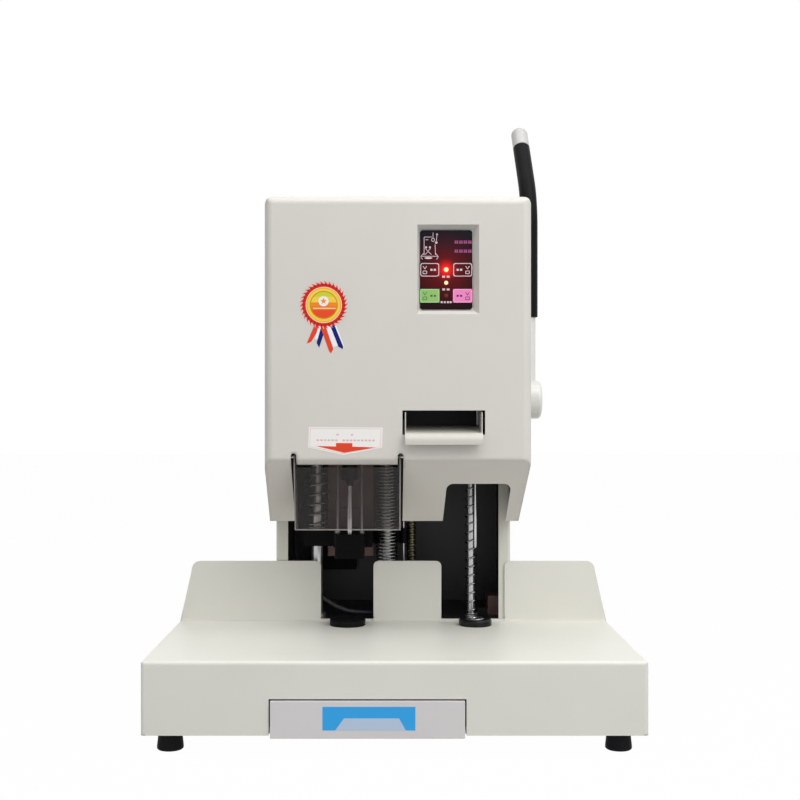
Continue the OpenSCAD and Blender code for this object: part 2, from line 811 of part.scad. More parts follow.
// Side wing of the guard with the ear that hangs on its pin
module guard_wing(x0) {
    y = guard_front_y;
    low_y = y + guard_tilt;
    difference() {
        union() {
            along_x(x0, x0 + guard_t) polygon([
                [y, guard_top_z], [low_y, guard_z], [low_y + 20, guard_z],
                [low_y + 20, guard_z + 24], [y + 9, guard_top_z]]);
            along_x(x0, x0 + guard_t) polygon([
                [guard_axis_y - guard_ear_r, guard_axis_z], [y, guard_top_z - 1],
                [y + 9, guard_top_z - 1], [guard_axis_y + guard_ear_r, guard_axis_z]]);
            bar_x(x0, x0 + guard_t, guard_axis_y, guard_axis_z, 2 * guard_ear_r);
        }
        bar_x(x0 - 1, x0 + guard_t + 1, guard_axis_y, guard_axis_z, guard_pin_d + 2 * fit);
    }
}

module drill_guard() {
    y = guard_front_y;
    color([0.75, 0.76, 0.78, 0.45]) union() {
        along_x(guard_left, guard_right) polygon([
            [y, guard_top_z], [y + guard_tilt, guard_z],
            [y + guard_tilt + guard_t, guard_z], [y + guard_t, guard_top_z]]);
        guard_wing(guard_left);
        guard_wing(guard_right - guard_t);
    }
}

// ---- tube outlet ----

// Scoop: a floor that lies on the outlet's edge, rolls over into a hanging lip, and two cheeks
module tube_tray() {
    x0 = outlet_l + scoop_gap;
    x1 = outlet_r - scoop_gap;
    y0 = head_front - scoop_out;
    top = outlet_z + scoop_t;
    inside = head_front + head_wall + 1;
    back = head_front + scoop_d;
    r = scoop_out - 1;
    cheek_w = 1;
    cheek_top = outlet_z + outlet_h - 1.4;
    color("gainsboro") {
        along_x(x0, x1) polygon(concat([[y0, outlet_z - scoop_h]],
            arc(y0 + r, top - r, r, 180, 90), [[inside, top], [back, top + scoop_rise],
                [back, top + scoop_rise - scoop_t], [inside, outlet_z]],
            arc(y0 + r, top - r, r - scoop_t, 90, 180), [[y0 + scoop_t, outlet_z - scoop_h]]));
        for (x = [x0, x1 - cheek_w]) along_x(x, x + cheek_w) polygon([
            [head_front, outlet_z + 0.1], [inside, outlet_z + 0.1],
            [back, outlet_z + scoop_rise + 0.1], [back, cheek_top], [head_front, cheek_top]]);
    }
}

// ---- panel ----

module key_window(i, grow) {
    s = i % 2 == 0 ? -1 : 1;
    x = floor_x + s * key_dx;
    z = panel_mid_z + key_zs[floor(i / 2)];
    translate([x - key_w / 2 - grow, z - key_h / 2 - grow])
        square([key_w + 2 * grow, key_h + 2 * grow]);
}

module panel_overlay() {
    x = floor_x;
    w = panel_floor_w / 2 - 0.9;
    h = panel_floor_h / 2 - 0.5;
    color([0.1, 0.08, 0.1]) along_y(panel_face_y - overlay_t, panel_face_y) difference() {
        polygon(rounded(x - w, x + w, panel_mid_z - h, panel_mid_z + h, [2.5, 2.5, 2.5, 2.5]));
        for (i = [0:3]) key_window(i, gap);
        for (z = led_zs) translate([x, panel_mid_z + z]) circle(d = led_d + 2 * fit);
    }
}

module panel_key(i, tint) {
    color(tint) {
        along_y(panel_face_y - overlay_t, panel_face_y + 1.6) key_window(i, 0);
    }
}

module panel_keys_1() { panel_key(0, "darkgray"); }
module panel_keys_2() { panel_key(1, "darkgray"); }
module panel_keys_3() { panel_key(2, "lightgreen"); }
module panel_keys_4() { panel_key(3, "pink"); }

// Circuit board behind the panel with its key switches, lamps and standoffs
module keypad_board() {
    x = floor_x;
    y0 = panel_face_y + 1.6 + key_travel + gap;
    color("darkgreen") {
        box([x - 22, x + 22], [y0 + 4, y0 + 5.6], [panel_mid_z - 36, panel_mid_z + 36]);
        for (i = [0:3]) {
            s = i % 2 == 0 ? -1 : 1;
            z = panel_mid_z + key_zs[floor(i / 2)];
            box([x + s * key_dx - 3, x + s * key_dx + 3], [y0 + gap, y0 + 4], [z - 3, z + 3]);
        }
        for (s = [-1, 1]) for (z = [-34, 34])
            bar_y(x + s * 19, panel_face_y + 2, y0 + 4, panel_mid_z + z, 4);
    }
    color("red") for (z = led_zs)
        bar_y(x, panel_face_y - overlay_t, y0 + 4, panel_mid_z + z, led_d);
}

// ---- drill station ----

// Column between the bed and a seat above, with a collar of given size on the deck
module column(x, y, top, d, collar) {
    bar(x, y, bed_z + 1, top, d);
    difference() {
        bar(x, y, table_z, table_z + collar[0], d + collar[1]);
        bar(x, y, table_z - 1, table_z + collar[0] + 1, d + 2 * fit);
    }
}

// Two drill columns, the ram's column and the thin rod that steers the presser
module guide_columns() {
    color("silver") {
        for (x = guide_xs) column(x, guide_y, column_top, guide_d, guide_collar);
        column(ram_column_x, ram_column_y, casting_z + 4, ram_column_d, ram_collar);
        bar(presser_rod_x, presser_rod_y, table_z, carriage_z - drill_travel - gap,
            presser_rod_d);
    }
}

// Flanged bronze bush; the flange lies on the carriage
module bush(x, y, bore, d, flange, flange_h) {
    z1 = carriage_z + carriage_h;
    difference() {
        union() {
            bar(x, y, carriage_z, z1 + flange_h, d);
            bar(x, y, z1, z1 + flange_h, d + flange);
        }
        bar(x, y, carriage_z - 1, z1 + flange_h + 1, bore + 2 * fit);
    }
}

// Two column bushes and the feed nut
module carriage_bushes() {
    color("goldenrod") {
        for (x = guide_xs) bush(x, guide_y, guide_d, bush_d, 4, 2);
        bush(screw_x, screw_y, screw_d, nut_d, 5, 4);
    }
}

module carriage_block() {
    z1 = carriage_z + carriage_h;
    front = -18;
    color("darkgray") difference() {
        along_z(carriage_z, z1) polygon(concat(
            arc(guide_xs[0] - 8, front + 6, 6, 180, 270),
            arc(drill_x + 28, front + 6, 6, 270, 360),
            [[drill_x + 34, 14], [guide_xs[1] + 12, 26], [guide_xs[1] + 12, screw_y - 11]],
            arc(screw_x + 5, screw_y - 6, 5, 270, 360),
            arc(screw_x + 5, screw_y + 5, 5, 0, 90),
            [[screw_x - 11, screw_y + 10], [screw_x - 11, guide_y + 18]],
            arc(guide_xs[0] - 8, guide_y + 12, 6, 90, 180)));
        for (x = guide_xs) bar(x, guide_y, carriage_z - 1, z1 + 1, bush_d + 2 * fit);
        for (x = rod_xs) bar(x, 0, carriage_z - 1, z1 + 1, rod_d + 2 * gap);
        bar(drill_x, 0, carriage_z - 1, z1 + 1, spindle_d + 2 * fit);
        bar(screw_x, screw_y, carriage_z - 1, z1 + 1, nut_d + 2 * fit);
    }
}

module drill_motor() {
    z0 = carriage_z + carriage_h;
    color("dimgray") difference() {
        union() {
            along_z(z0, z0 + 6) polygon(rounded(drill_x - motor_d / 2 - 2, drill_x + motor_d / 2 + 2,
                -17, motor_d / 2 - 2, [5, 5, 5, 5]));
            bar(drill_x, 0, z0 + 6, z0 + motor_h - motor_cap_h, motor_d);
            bar(drill_x, 0, z0 + motor_h - motor_cap_h, z0 + motor_h, motor_d - 16);
        }
        bar(drill_x, 0, z0 - 1, spindle_top + 1, spindle_d + 2 * fit);
    }
}

module spindle_shaft() {
    color("silver") bar(drill_x, 0, bit_tip + 71, spindle_top, spindle_d);
}

module drill_chuck() {
    top = carriage_z - 2 * gap;
    color("dimgray") translate([drill_x, 0, 0]) difference() {
        rotate_extrude() polygon([[0, chuck_z - 5], [bit_d / 2 + 0.6, chuck_z - 5],
            [bit_d / 2 + 1.2, chuck_z], [chuck_d / 2 - 1, chuck_z], [chuck_d / 2, chuck_z + 1],
            [chuck_d / 2, chuck_z + 11], [chuck_d / 2 - 1, chuck_z + 12],
            [chuck_d / 2 - 1, top], [0, top]]);
        bar(0, 0, chuck_z - 6, chuck_z + 5, bit_d + 2 * fit);
        bar(0, 0, chuck_z + 5, top + 1, spindle_d + 2 * fit);
        for (a = [0:60:300]) rotate(a) translate([chuck_d / 2 + 0.4, 0, chuck_z + 2])
            cylinder(d = 2, h = 8, $fn = 16);
    }
}

module drill_bit() {
    color("silver") translate([drill_x, 0, 0]) difference() {
        rotate_extrude() polygon([[bit_bore / 2, bit_tip], [bit_d / 2, bit_tip + 3],
            [bit_d / 2, chuck_z + 5], [bit_bore / 2, chuck_z + 5]]);
        box([0, 10], [-bit_bore / 2, bit_bore / 2], [bit_tip + 34, bit_tip + 52]);
    }
}

module presser_crosshead() {
    color([0.1, 0.1, 0.1]) difference() {
        along_z(crosshead_z, crosshead_top) difference() {
            union() {
                polygon(rounded(drill_x - foot_w / 2, drill_x + foot_w / 2, -13, guide_y,
                    [3, 3, 0.5, 0.5]));
                polygon(rounded(drill_x - 16, drill_x + 21, 14, guide_y + 18, [2, 2, 0.5, 3]));
                translate([guide_xs[0] - boss_d / 2, guide_y - 14]) square([30, 12]);
                translate([guide_xs[0], guide_y]) circle(d = boss_d);
                translate([guide_xs[0], guide_y - 10]) square([24, 20]);
                translate([drill_x, guide_y + 12.8]) square([presser_rod_x - drill_x, 5.2]);
                translate([presser_rod_x, presser_rod_y]) circle(d = 8.4);
            }
            translate([guide_xs[1], guide_y]) circle(d = return_spring_d + 2.4);
        }
        bar(guide_xs[0], guide_y, crosshead_z - 1, crosshead_top + 1, guide_d + 2 * fit);
        bar(presser_rod_x, presser_rod_y, crosshead_z - 1, crosshead_top + 1,
            presser_rod_d + 2 * fit);
        bar(drill_x, 0, crosshead_z - 1, crosshead_top + 1, bit_d + 1.5);
        for (x = rod_xs) bar(x, 0, crosshead_z + 3, crosshead_top + 1, rod_d + 2 * fit);
    }
}

module presser_foot() {
    color([0.12, 0.12, 0.12]) difference() {
        along_z(presser_z, crosshead_z)
            polygon(rounded(drill_x - foot_w / 2, drill_x + foot_w / 2, -11, 11, [3, 3, 3, 3]));
        bar(drill_x, 0, presser_z - 1, crosshead_z + 1, bit_d + 1.5);
    }
}

// Thin rods that hang the presser from the carriage, each with its screw collar
module lift_rods() {
    top = carriage_z + carriage_h - rod_play - fit;
    color("silver") for (x = rod_xs) {
        bar(x, 0, crosshead_z + 3, top, rod_d);
        difference() {
            translate([x, 0, crosshead_top]) cylinder(d = 5.4, h = 2.6, $fn = 6);
            bar(x, 0, crosshead_top - 1, crosshead_top + 3, rod_d + 2 * fit);
        }
    }
}

module presser_spring() {
    color("silver") coil(guide_xs[0], guide_y, crosshead_top, carriage_z,
        presser_spring_d, presser_wire, presser_turns);
}

module return_spring() {
    color("silver") coil(guide_xs[1], guide_y, table_z + guide_collar[0], carriage_z,
        return_spring_d, return_wire, return_turns);
}

module feed_screw() {
    color("olivedrab") bar(screw_x, screw_y, table_z + 1, column_top + 20, screw_d);
}

// Pedestal that carries the lower end of the feed screw
module screw_bearing() {
    color("dimgray") difference() {
        union() {
            bar(screw_x, screw_y, table_z, table_z + screw_seat_h, screw_d + 7);
            box([screw_x - 9, screw_x + 9], [screw_y - 9, screw_y + 9], [table_z, table_z + 3]);
        }
        bar(screw_x, screw_y, table_z + 1 - fit, table_z + screw_seat_h + 1, screw_d + 2 * fit);
    }
}

module feed_motor() {
    z0 = column_top;
    x = feed_motor_w / 2 - 5;
    color("dimgray") difference() {
        along_z(z0, z0 + feed_motor_h) polygon(concat(
            arc(screw_x + x, screw_y + x, 5, 0, 90, 1), arc(screw_x - x, screw_y + x, 5, 90, 180, 1),
            arc(screw_x - x, screw_y - x, 5, 180, 270, 1),
            arc(screw_x + x, screw_y - x, 5, 270, 360, 1)));
        bar(screw_x, screw_y, z0 - 1, z0 + 21, screw_d + 2 * fit);
    }
}

// Plastic pad under the drill with a spigot that turns in its bush
module drill_pad() {
    color([0.08, 0.08, 0.08]) {
        bar(pad_x, 0, table_z, table_z + pad_h, pad_d);
        bar(pad_x, 0, table_z - pad_seat_h, table_z, pad_seat_d - 6);
    }
}

module pad_bush() {
    color("goldenrod") difference() {
        bar(pad_x, 0, table_z - sheet - bed_t + 1, table_z - 0.2, pad_seat_d);
        bar(pad_x, 0, table_z - pad_seat_h - 0.2, table_z + 1, pad_seat_d - 6 + 2 * fit);
    }
}

// Brown board that hangs from the beam behind the drill and carries the limit switches
module limit_board() {
    color([0.45, 0.28, 0.16]) {
        box(board_x, [board_y, board_y + board_t], [table_z + 55.5, beam_z]);
        for (z = [carriage_z - 60, carriage_z + 20, carriage_z + carriage_h + 12])
            box([drill_x - 10, drill_x + 10], [board_y - 6, board_y], [z, z + 10]);
    }
}

// ---- rivet station ----

// Cheeks, ties and guide shoes that carry the ram and the lever shaft
module rivet_casting() {
    front = rack_back - 6;
    back = shaft_y + 30;
    color("darkgray") difference() {
        union() {
            for (s = [-1, 1]) {
                x0 = s < 0 ? rivet_x - cheek_in - cheek_t : rivet_x + cheek_in;
                along_x(x0, x0 + cheek_t) polygon([[front, casting_z], [back - 8, casting_z],
                    [back, casting_z + 20], [back, beam_z], [front, beam_z]]);
                bar_x(s < 0 ? x0 - 4 : x0 + cheek_t - 0.1, s < 0 ? x0 + 0.1 : x0 + cheek_t + 4,
                    shaft_y, shaft_z, shaft_d + 12);
            }
            x = [rivet_x - cheek_in - 0.1, rivet_x + cheek_in + 0.1];
            box(x, [front, rack_back - fit], [casting_z, casting_z + 12]);
            box(x, [front, rack_back - fit], [casting_z + 80, casting_z + 92]);
            box(x, [ram_column_y - 7, ram_column_y + 9], [casting_z, casting_z + 5]);
            box(x, [back - 5, back], [shaft_z + 30, beam_z]);
        }
        bar_x(rivet_x - 30, rivet_x + 30, shaft_y, shaft_z, shaft_d + 2 * fit);
        bar(ram_column_x, ram_column_y, casting_z - 1, casting_z + 6, ram_column_d + 2 * fit);
    }
}

module ram_bracket() {
    color("darkgray") difference() {
        along_z(bracket_z, rack_low) difference() {
            union() {
                polygon(rounded(rivet_x - 9, rivet_x + 9, rack_back, ram_column_y, [3, 3, 1, 1]));
                translate([ram_column_x, ram_column_y]) circle(d = ram_column_d + 12);
            }
            translate([ram_column_x, ram_column_y]) circle(d = ram_bore_d);
        }
        bar(rivet_x, 0, bracket_z - 1, bracket_z + 14, needle_d + 2.6 + 2 * fit);
    }
}

// Rack with straight-flanked teeth towards the pinion
module ram_rack() {
    tooth = pitch / 4;
    first = -2;
    last = floor((rack_top - shaft_z) / pitch) - 1;
    color("silver") along_x(rivet_x - gear_w / 2, rivet_x + gear_w / 2) polygon(concat(
        [[rack_back, rack_top], [rack_back, rack_low], [rack_y - 1.25 * gear_module, rack_low]],
        [for (i = [first:last]) for (c = [[-1, -1.25, 0.42], [-1, 0.9, -0.42],
            [1, 0.9, -0.42], [1, -1.25, 0.42]])
            [rack_y + c[1] * gear_module,
                shaft_z + (i + 0.5) * pitch + c[0] * (tooth - 0.25 + c[2] * gear_module)]],
        [[rack_y - 1.25 * gear_module, rack_top]]));
}

module rivet_needle() {
    color("silver") translate([rivet_x, 0, 0]) {
        rotate_extrude() polygon([[0, needle_z], [needle_d / 2, needle_z + 3],
            [needle_d / 2, bracket_z - 8], [needle_d / 2 + 1.3, bracket_z - 5],
            [needle_d / 2 + 1.3, bracket_z + 13], [0, bracket_z + 13]]);
    }
}

module rivet_spring() {
    color("white") coil(ram_column_x, ram_column_y, table_z + ram_collar[0], bracket_z,
        ram_spring_d, ram_wire, ram_turns);
}

module anvil_body() {
    color([0.1, 0.1, 0.1]) translate([rivet_x, 0, 0]) difference() {
        rotate_extrude() polygon([[0, table_z - bed_t], [anvil_d / 2 - 6, table_z - bed_t],
            [anvil_d / 2 - 6, table_z], [anvil_d / 2, table_z], [anvil_d / 2, anvil_top - 1.5],
            [anvil_d / 2 - 1.5, anvil_top], [0, anvil_top]]);
        bar(0, 0, anvil_top - 5, anvil_top + 1, die_d + 2 * fit);
        bar(0, 0, table_z - bed_t - 1, anvil_top, needle_d + 1.4);
    }
}

module anvil_die() {
    color("silver") translate([rivet_x, 0, 0]) rotate_extrude() polygon([
        [needle_d / 2 + 0.5, anvil_top - 5], [die_d / 2, anvil_top - 5],
        [die_d / 2, anvil_top], [die_d / 2 - 1.2, anvil_top + 0.8],
        [needle_d / 2 + 1.6, anvil_top + 0.8], [needle_d / 2 + 0.5, anvil_top - 0.6]]);
}

// Bent shield behind and beside the anvil
module heat_shield() {
    x = rivet_x + 3;
    color([0.12, 0.12, 0.12]) union() {
        box([x, x + 9.4], [backstop_y - 4, backstop_y - 2.5], [table_z, table_z + 13]);
        box([x, x + 9.4], [backstop_y - 2.5, backstop_y - 0.2], [table_z, table_z + 1.5]);
    }
}

// ---- lever ----

module lever_shaft() {
    color("silver") bar_x(rivet_x - cheek_in - cheek_t - 6, hub_x + hub_w - 4, shaft_y, shaft_z,
        shaft_d);
}

// Pinion whose tooth points at the front, between two rack teeth
module pinion() {
    a = 360 / pinion_teeth;
    tip = gear_r + 0.9 * gear_module;
    root = gear_r - 1.25 * gear_module;
    color("silver") difference() {
        along_x(rivet_x - gear_w / 2, rivet_x + gear_w / 2) translate([shaft_y, shaft_z])
            polygon([for (i = [0:pinion_teeth - 1]) for (c = [[root, -0.33], [gear_r, -0.225],
                [tip, -0.11], [tip, 0.11], [gear_r, 0.225], [root, 0.33]])
                [c[0] * cos((i + c[1]) * a), c[0] * sin((i + c[1]) * a)]]);
        bar_x(rivet_x - 20, rivet_x + 20, shaft_y, shaft_z, shaft_d + 2 * fit);
    }
}

module lever_hub() {
    color("whitesmoke") difference() {
        translate([hub_x, shaft_y, shaft_z]) rotate([0, 90, 0]) rotate_extrude()
            polygon(concat([[0, 0], [hub_d / 2 - 1, 0], [hub_d / 2, 1]],
                arc(hub_d / 2 - 4, hub_w - 4, 4, 0, 90), [[0, hub_w]]));
        bar_x(hub_x - 1, hub_x + hub_w - 4 + fit, shaft_y, shaft_z, shaft_d + 2 * fit);
        bar(arm_x, shaft_y, shaft_z + hub_d / 2 - arm_socket, shaft_z + hub_d, arm_d + 2 * fit);
    }
}

// Rings of the bent lever: each is [y, z, lean] at a step along its centre line
function lever_line(from, tail) = concat([[shaft_y, shaft_z + from, 0]],
    [for (i = [0:bend_steps]) let (a = arm_bend * i / bend_steps)
        [shaft_y + arm_bend_r * (1 - cos(a)), shaft_z + arm_straight + arm_bend_r * sin(a), a]],
    [[shaft_y + arm_bend_r * (1 - cos(arm_bend)) + tail * sin(arm_bend),
        shaft_z + arm_straight + arm_bend_r * sin(arm_bend) + tail * cos(arm_bend), arm_bend]]);

// Turns the lever about its straight part, so that the bend leans towards the head
module lever_turned() {
    translate([arm_x, shaft_y, 0]) rotate([0, 0, arm_yaw]) translate([-arm_x, -shaft_y, 0])
        children();
}

// Round section carried along the lever's centre line
module lever_run(d, from, tail) {
    line = lever_line(from, tail);
    n = len(line);
    points = [for (p = line) for (k = [0:bar_sides - 1]) let (b = 360 * k / bar_sides, r = d / 2)
        [arm_x + r * cos(b), p[0] + r * sin(b) * cos(p[2]), p[1] - r * sin(b) * sin(p[2])]];
    walls = [for (i = [0:n - 2]) for (k = [0:bar_sides - 1])
        let (a = i * bar_sides + k, b = i * bar_sides + (k + 1) % bar_sides)
        [a, a + bar_sides, b + bar_sides, b]];
    ends = [[for (k = [0:bar_sides - 1]) k],
        [for (k = [bar_sides - 1:-1:0]) (n - 1) * bar_sides + k]];
    lever_turned() polyhedron(points, concat(walls, ends));
}

// Frame at a distance along the tail, its Z axis along the lever
module lever_end(along) {
    lever_turned() translate([arm_x, shaft_y + arm_bend_r * (1 - cos(arm_bend)),
        shaft_z + arm_straight + arm_bend_r * sin(arm_bend)])
        rotate([-arm_bend, 0, 0]) translate([0, 0, along]) children();
}

module lever_arm() {
    color("whitesmoke") lever_run(arm_d, hub_d / 2 - arm_socket + fit, arm_tail + cap_l / 2);
}

module lever_grip() {
    color([0.1, 0.1, 0.1]) difference() {
        lever_run(grip_d, grip_z, arm_tail);
        lever_run(arm_d + 2 * fit, grip_z - 1, arm_tail + 1);
    }
}

module lever_cap() {
    r = grip_d / 2;
    color("whitesmoke") lever_end(arm_tail + fit) difference() {
        rotate_extrude() polygon(concat([[0, 0], [r, 0]], arc(r - 5, cap_l - 5, 5, 0, 90),
            [[0, cap_l]]));
        translate([0, 0, -1]) cylinder(d = arm_d + 2 * fit, h = cap_l / 2 + 1.1);
    }
}

// ---- electrics ----

// Circuit board on the column's rear web with its transformer, relays and capacitors
module control_board() {
    y = control_board_y;
    x0 = inlet_x - control_w / 2 + 25;
    x1 = x0 + control_w;
    z0 = inlet_z + control_above;
    z1 = z0 + control_h;
    color("darkgreen") {
        box([x0, x1], [y, y + 1.6], [z0, z1]);
        for (x = [x0 + 6, x1 - 6]) for (z = [z0 + 6, z1 - 6])
            bar_y(x, y + 1.6, column_back - column_t, z, 6);
    }
    color("dimgray") {
        box([x0 + 4, x0 + 16], [y - 8, y], [z0 + 1, z0 + 9]);
        box([x0 + 6, x0 + 46], [y - 30, y], [z1 - 55, z1 - 13]);
        for (x = [x0 + 60, x0 + 78, x0 + 96]) box([x - 7, x + 7], [y - 15, y], [z1 - 45, z1 - 25]);
        for (x = [x0 + 30, x0 + 50]) bar_y(x, y - 26, y, z0 + 35, 16);
        box([x0 + 70, x1 - 6], [y - 9, y], [z0 + 7, z0 + 17]);
    }
}

// Brown terminal block on the deck behind the rivet station
module terminal_block() {
    x = rivet_x + 16;
    color([0.42, 0.3, 0.2]) difference() {
        box([x, x + 10], [56, 82], [table_z, table_z + 18]);
        for (y = [61, 69, 77]) bar(x + 5, y, table_z + 12, table_z + 19, 4);
    }
}

// Unit vector along the sleeve at a point of its route
function sleeve_dir(i) =
    let (a = sleeve_route[max(i - 1, 0)], b = sleeve_route[min(i + 1, len(sleeve_route) - 1)])
    (b - a) / norm(b - a);

module wiring_sleeve() {
    sides = 8;
    n = len(sleeve_route);
    points = [for (i = [0:n - 1]) for (k = [0:sides - 1])
        let (t = sleeve_dir(i), u = cross(t, [1, 0.2, 0.1]), e = u / norm(u), f = cross(t, e))
        sleeve_route[i] + sleeve_d / 2 * (cos(360 * k / sides) * e + sin(360 * k / sides) * f)];
    walls = [for (i = [0:n - 2]) for (k = [0:sides - 1])
        let (a = i * sides + k, b = i * sides + (k + 1) % sides) [a, b, b + sides, a + sides]];
    ends = [[for (k = [sides - 1:-1:0]) k], [for (k = [0:sides - 1]) (n - 1) * sides + k]];
    color("gray") polyhedron(points, concat(walls, ends));
}

// ---- rear inlet ----

module power_inlet() {
    x0 = inlet_x - inlet_w / 2;
    x1 = inlet_x + inlet_w / 2;
    socket_x = inlet_x - 9;
    rocker_x = inlet_x + 13;
    color([0.1, 0.1, 0.1]) difference() {
        union() {
            along_y(column_back, column_back + 2) polygon(rounded(x0, x1,
                inlet_z - inlet_h / 2, inlet_z + inlet_h / 2, [3, 3, 3, 3]));
            box([x0 + 3.2, x1 - 3.2], [column_back - 26, column_back],
                [inlet_z - inlet_h / 2 + 2.2, inlet_z + inlet_h / 2 - 2.2]);
        }
        along_y(column_back - 18, column_back + 3) polygon([
            [socket_x - 11, inlet_z - 8], [socket_x + 11, inlet_z - 8], [socket_x + 11, inlet_z + 4],
            [socket_x + 7, inlet_z + 8], [socket_x - 7, inlet_z + 8], [socket_x - 11, inlet_z + 4]]);
        box([rocker_x - rocker_w / 2, rocker_x + rocker_w / 2],
            [column_back - 14, column_back + 3], [inlet_z - 9.5, inlet_z + 9.5]);
        bar_x(rocker_x - rocker_w / 2 - 2, rocker_x + rocker_w / 2 + 2, rocker_y, inlet_z,
            rocker_pin_d + 2 * fit);
    }
    color("silver") for (p = [[-6, 1], [0, -3], [6, 1]])
        box([socket_x + p[0] - 1, socket_x + p[0] + 1], [column_back - 18, column_back - 4],
            [inlet_z + p[1] - 2, inlet_z + p[1] + 2]);
}

// Rocker at rest with its lower end pressed in, and its pivot pin in the inlet's housing
module power_rocker() {
    x = inlet_x + 13;
    w = rocker_w / 2 - gap;
    color("firebrick") union() {
        translate([0, rocker_y, inlet_z]) rotate([rocker_tilt, 0, 0]) along_x(x - w, x + w)
            polygon([[-3, -4], [-3, 4], [1.5, 8.6], [4, 8.4], [2.6, 0], [4, -8.4], [1.5, -8.6]]);
        bar_x(x - rocker_w / 2 - 1.6, x + rocker_w / 2 + 1.6, rocker_y, inlet_z, rocker_pin_d);
    }
}

base_front_cover();
base_rear_cover();
base_plate();
bed_plate();
bed_pillars();
rubber_feet();
foot_screws();
drawer_front();
drawer_box();
drawer_runners();
column_frame();
top_beam();
head_front_cover();
head_rear_cover();
guard_pins();
drill_guard();
tube_tray();
panel_overlay();
keypad_board();
panel_keys_1();
panel_keys_2();
panel_keys_3();
panel_keys_4();
guide_columns();
carriage_bushes();
carriage_block();
drill_motor();
spindle_shaft();
drill_chuck();
drill_bit();
presser_crosshead();
presser_foot();
lift_rods();
presser_spring();
return_spring();
feed_screw();
screw_bearing();
feed_motor();
drill_pad();
pad_bush();
limit_board();
rivet_casting();
ram_rack();
ram_bracket();
rivet_needle();
rivet_spring();
anvil_body();
anvil_die();
heat_shield();
lever_shaft();
pinion();
lever_hub();
lever_arm();
lever_grip();
lever_cap();
power_inlet();
power_rocker();
control_board();
terminal_block();
wiring_sleeve();
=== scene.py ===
# Desk riveting machine: camera, light, finishes and the surfaces that the frame leaves plain.
# Everything is in metres; sizes are written in millimetres times mm.
import json
import math

import bpy
import numpy as np
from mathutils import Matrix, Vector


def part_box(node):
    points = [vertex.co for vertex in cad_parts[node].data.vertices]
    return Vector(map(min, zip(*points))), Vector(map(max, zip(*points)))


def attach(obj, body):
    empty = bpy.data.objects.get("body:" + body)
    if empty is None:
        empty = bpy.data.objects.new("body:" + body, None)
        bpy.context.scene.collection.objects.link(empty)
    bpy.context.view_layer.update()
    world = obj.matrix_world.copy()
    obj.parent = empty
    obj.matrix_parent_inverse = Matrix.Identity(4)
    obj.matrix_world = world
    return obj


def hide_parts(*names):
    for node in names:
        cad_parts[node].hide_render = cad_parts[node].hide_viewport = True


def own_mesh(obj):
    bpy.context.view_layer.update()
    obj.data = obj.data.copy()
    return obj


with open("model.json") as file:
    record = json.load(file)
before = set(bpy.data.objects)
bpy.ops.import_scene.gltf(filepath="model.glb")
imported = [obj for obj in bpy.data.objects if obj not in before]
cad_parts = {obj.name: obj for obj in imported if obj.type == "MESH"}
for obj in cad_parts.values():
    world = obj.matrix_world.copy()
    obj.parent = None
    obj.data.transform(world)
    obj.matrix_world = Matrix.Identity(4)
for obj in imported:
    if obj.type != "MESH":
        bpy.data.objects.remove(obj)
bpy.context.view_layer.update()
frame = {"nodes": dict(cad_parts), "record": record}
nodes = frame["nodes"]
mm = 0.001
print("frame loaded:", len(nodes), "nodes")


# The photograph's viewpoint: place in millimetres, lens and shifts as Blender has them
view = {"place": (-6.8, -1166.0, 276.0), "lens": 57.24, "sensor": 36,
        "shiftX": 0.0175, "shiftY": 0.00625, "nearest": 0.05, "farthest": 30}


# Level camera that looks along Y from straight in front
def makeCamera():
    cam = bpy.data.cameras.new("camera")
    cam.lens = view["lens"]
    cam.sensor_width = view["sensor"]
    cam.shift_x = view["shiftX"]
    cam.shift_y = view["shiftY"]
    cam.clip_start = view["nearest"]
    cam.clip_end = view["farthest"]
    obj = bpy.data.objects.new("camera", cam)
    obj.location = [v * mm for v in view["place"]]
    obj.rotation_euler = (math.radians(90), 0, 0)
    bpy.context.scene.collection.objects.link(obj)
    bpy.context.scene.camera = obj


# sRGB hex value to linear rgba
def linear(hexColour):
    channels = [int(hexColour[i:i + 2], 16) / 255 for i in (1, 3, 5)]
    return tuple(c / 12.92 if c <= 0.04045 else ((c + 0.055) / 1.055) ** 2.4
                 for c in channels) + (1.0,)


# Adds one node, sets its sockets (by name or number) or its properties, and links its inputs
def addNode(tree, kind, settings=None, links=None):
    node = tree.nodes.new(kind)
    for key, value in (settings or {}).items():
        if isinstance(key, int) or key in node.inputs:
            node.inputs[key].default_value = value
        else:
            setattr(node, key, value)
    for key, source in (links or {}).items():
        tree.links.new(source, node.inputs[key])
    return node


# Empty node tree to build a material in
def startMaterial(name):
    material = bpy.data.materials.new(name)
    material.use_nodes = True
    tree = material.node_tree
    tree.nodes.clear()
    return material, tree


# Ends a material with the given shader node
def finishMaterial(tree, surface):
    addNode(tree, "ShaderNodeOutputMaterial", links={"Surface": surface.outputs[0]})


# One for the rays that see the studio as plain white: from the camera, or by way of gloss
# or clear sheet
def whiteRays(tree):
    path = addNode(tree, "ShaderNodeLightPath")
    either = addNode(tree, "ShaderNodeMath", {"operation": "MAXIMUM"},
                     {0: path.outputs["Is Camera Ray"], 1: path.outputs["Is Glossy Ray"]})
    return addNode(tree, "ShaderNodeMath", {"operation": "MAXIMUM"},
                   {0: either.outputs[0], 1: path.outputs["Is Transmission Ray"]})


# Surroundings: light that falls on the machine, and the white that the camera sees
room = {"world": "#FFFFFF", "worldLevel": 0.3, "seenLevel": 1.0, "floor": "#B4B4B4",
        "floorSeenWhite": 0.985, "floorHalf": 6.0}


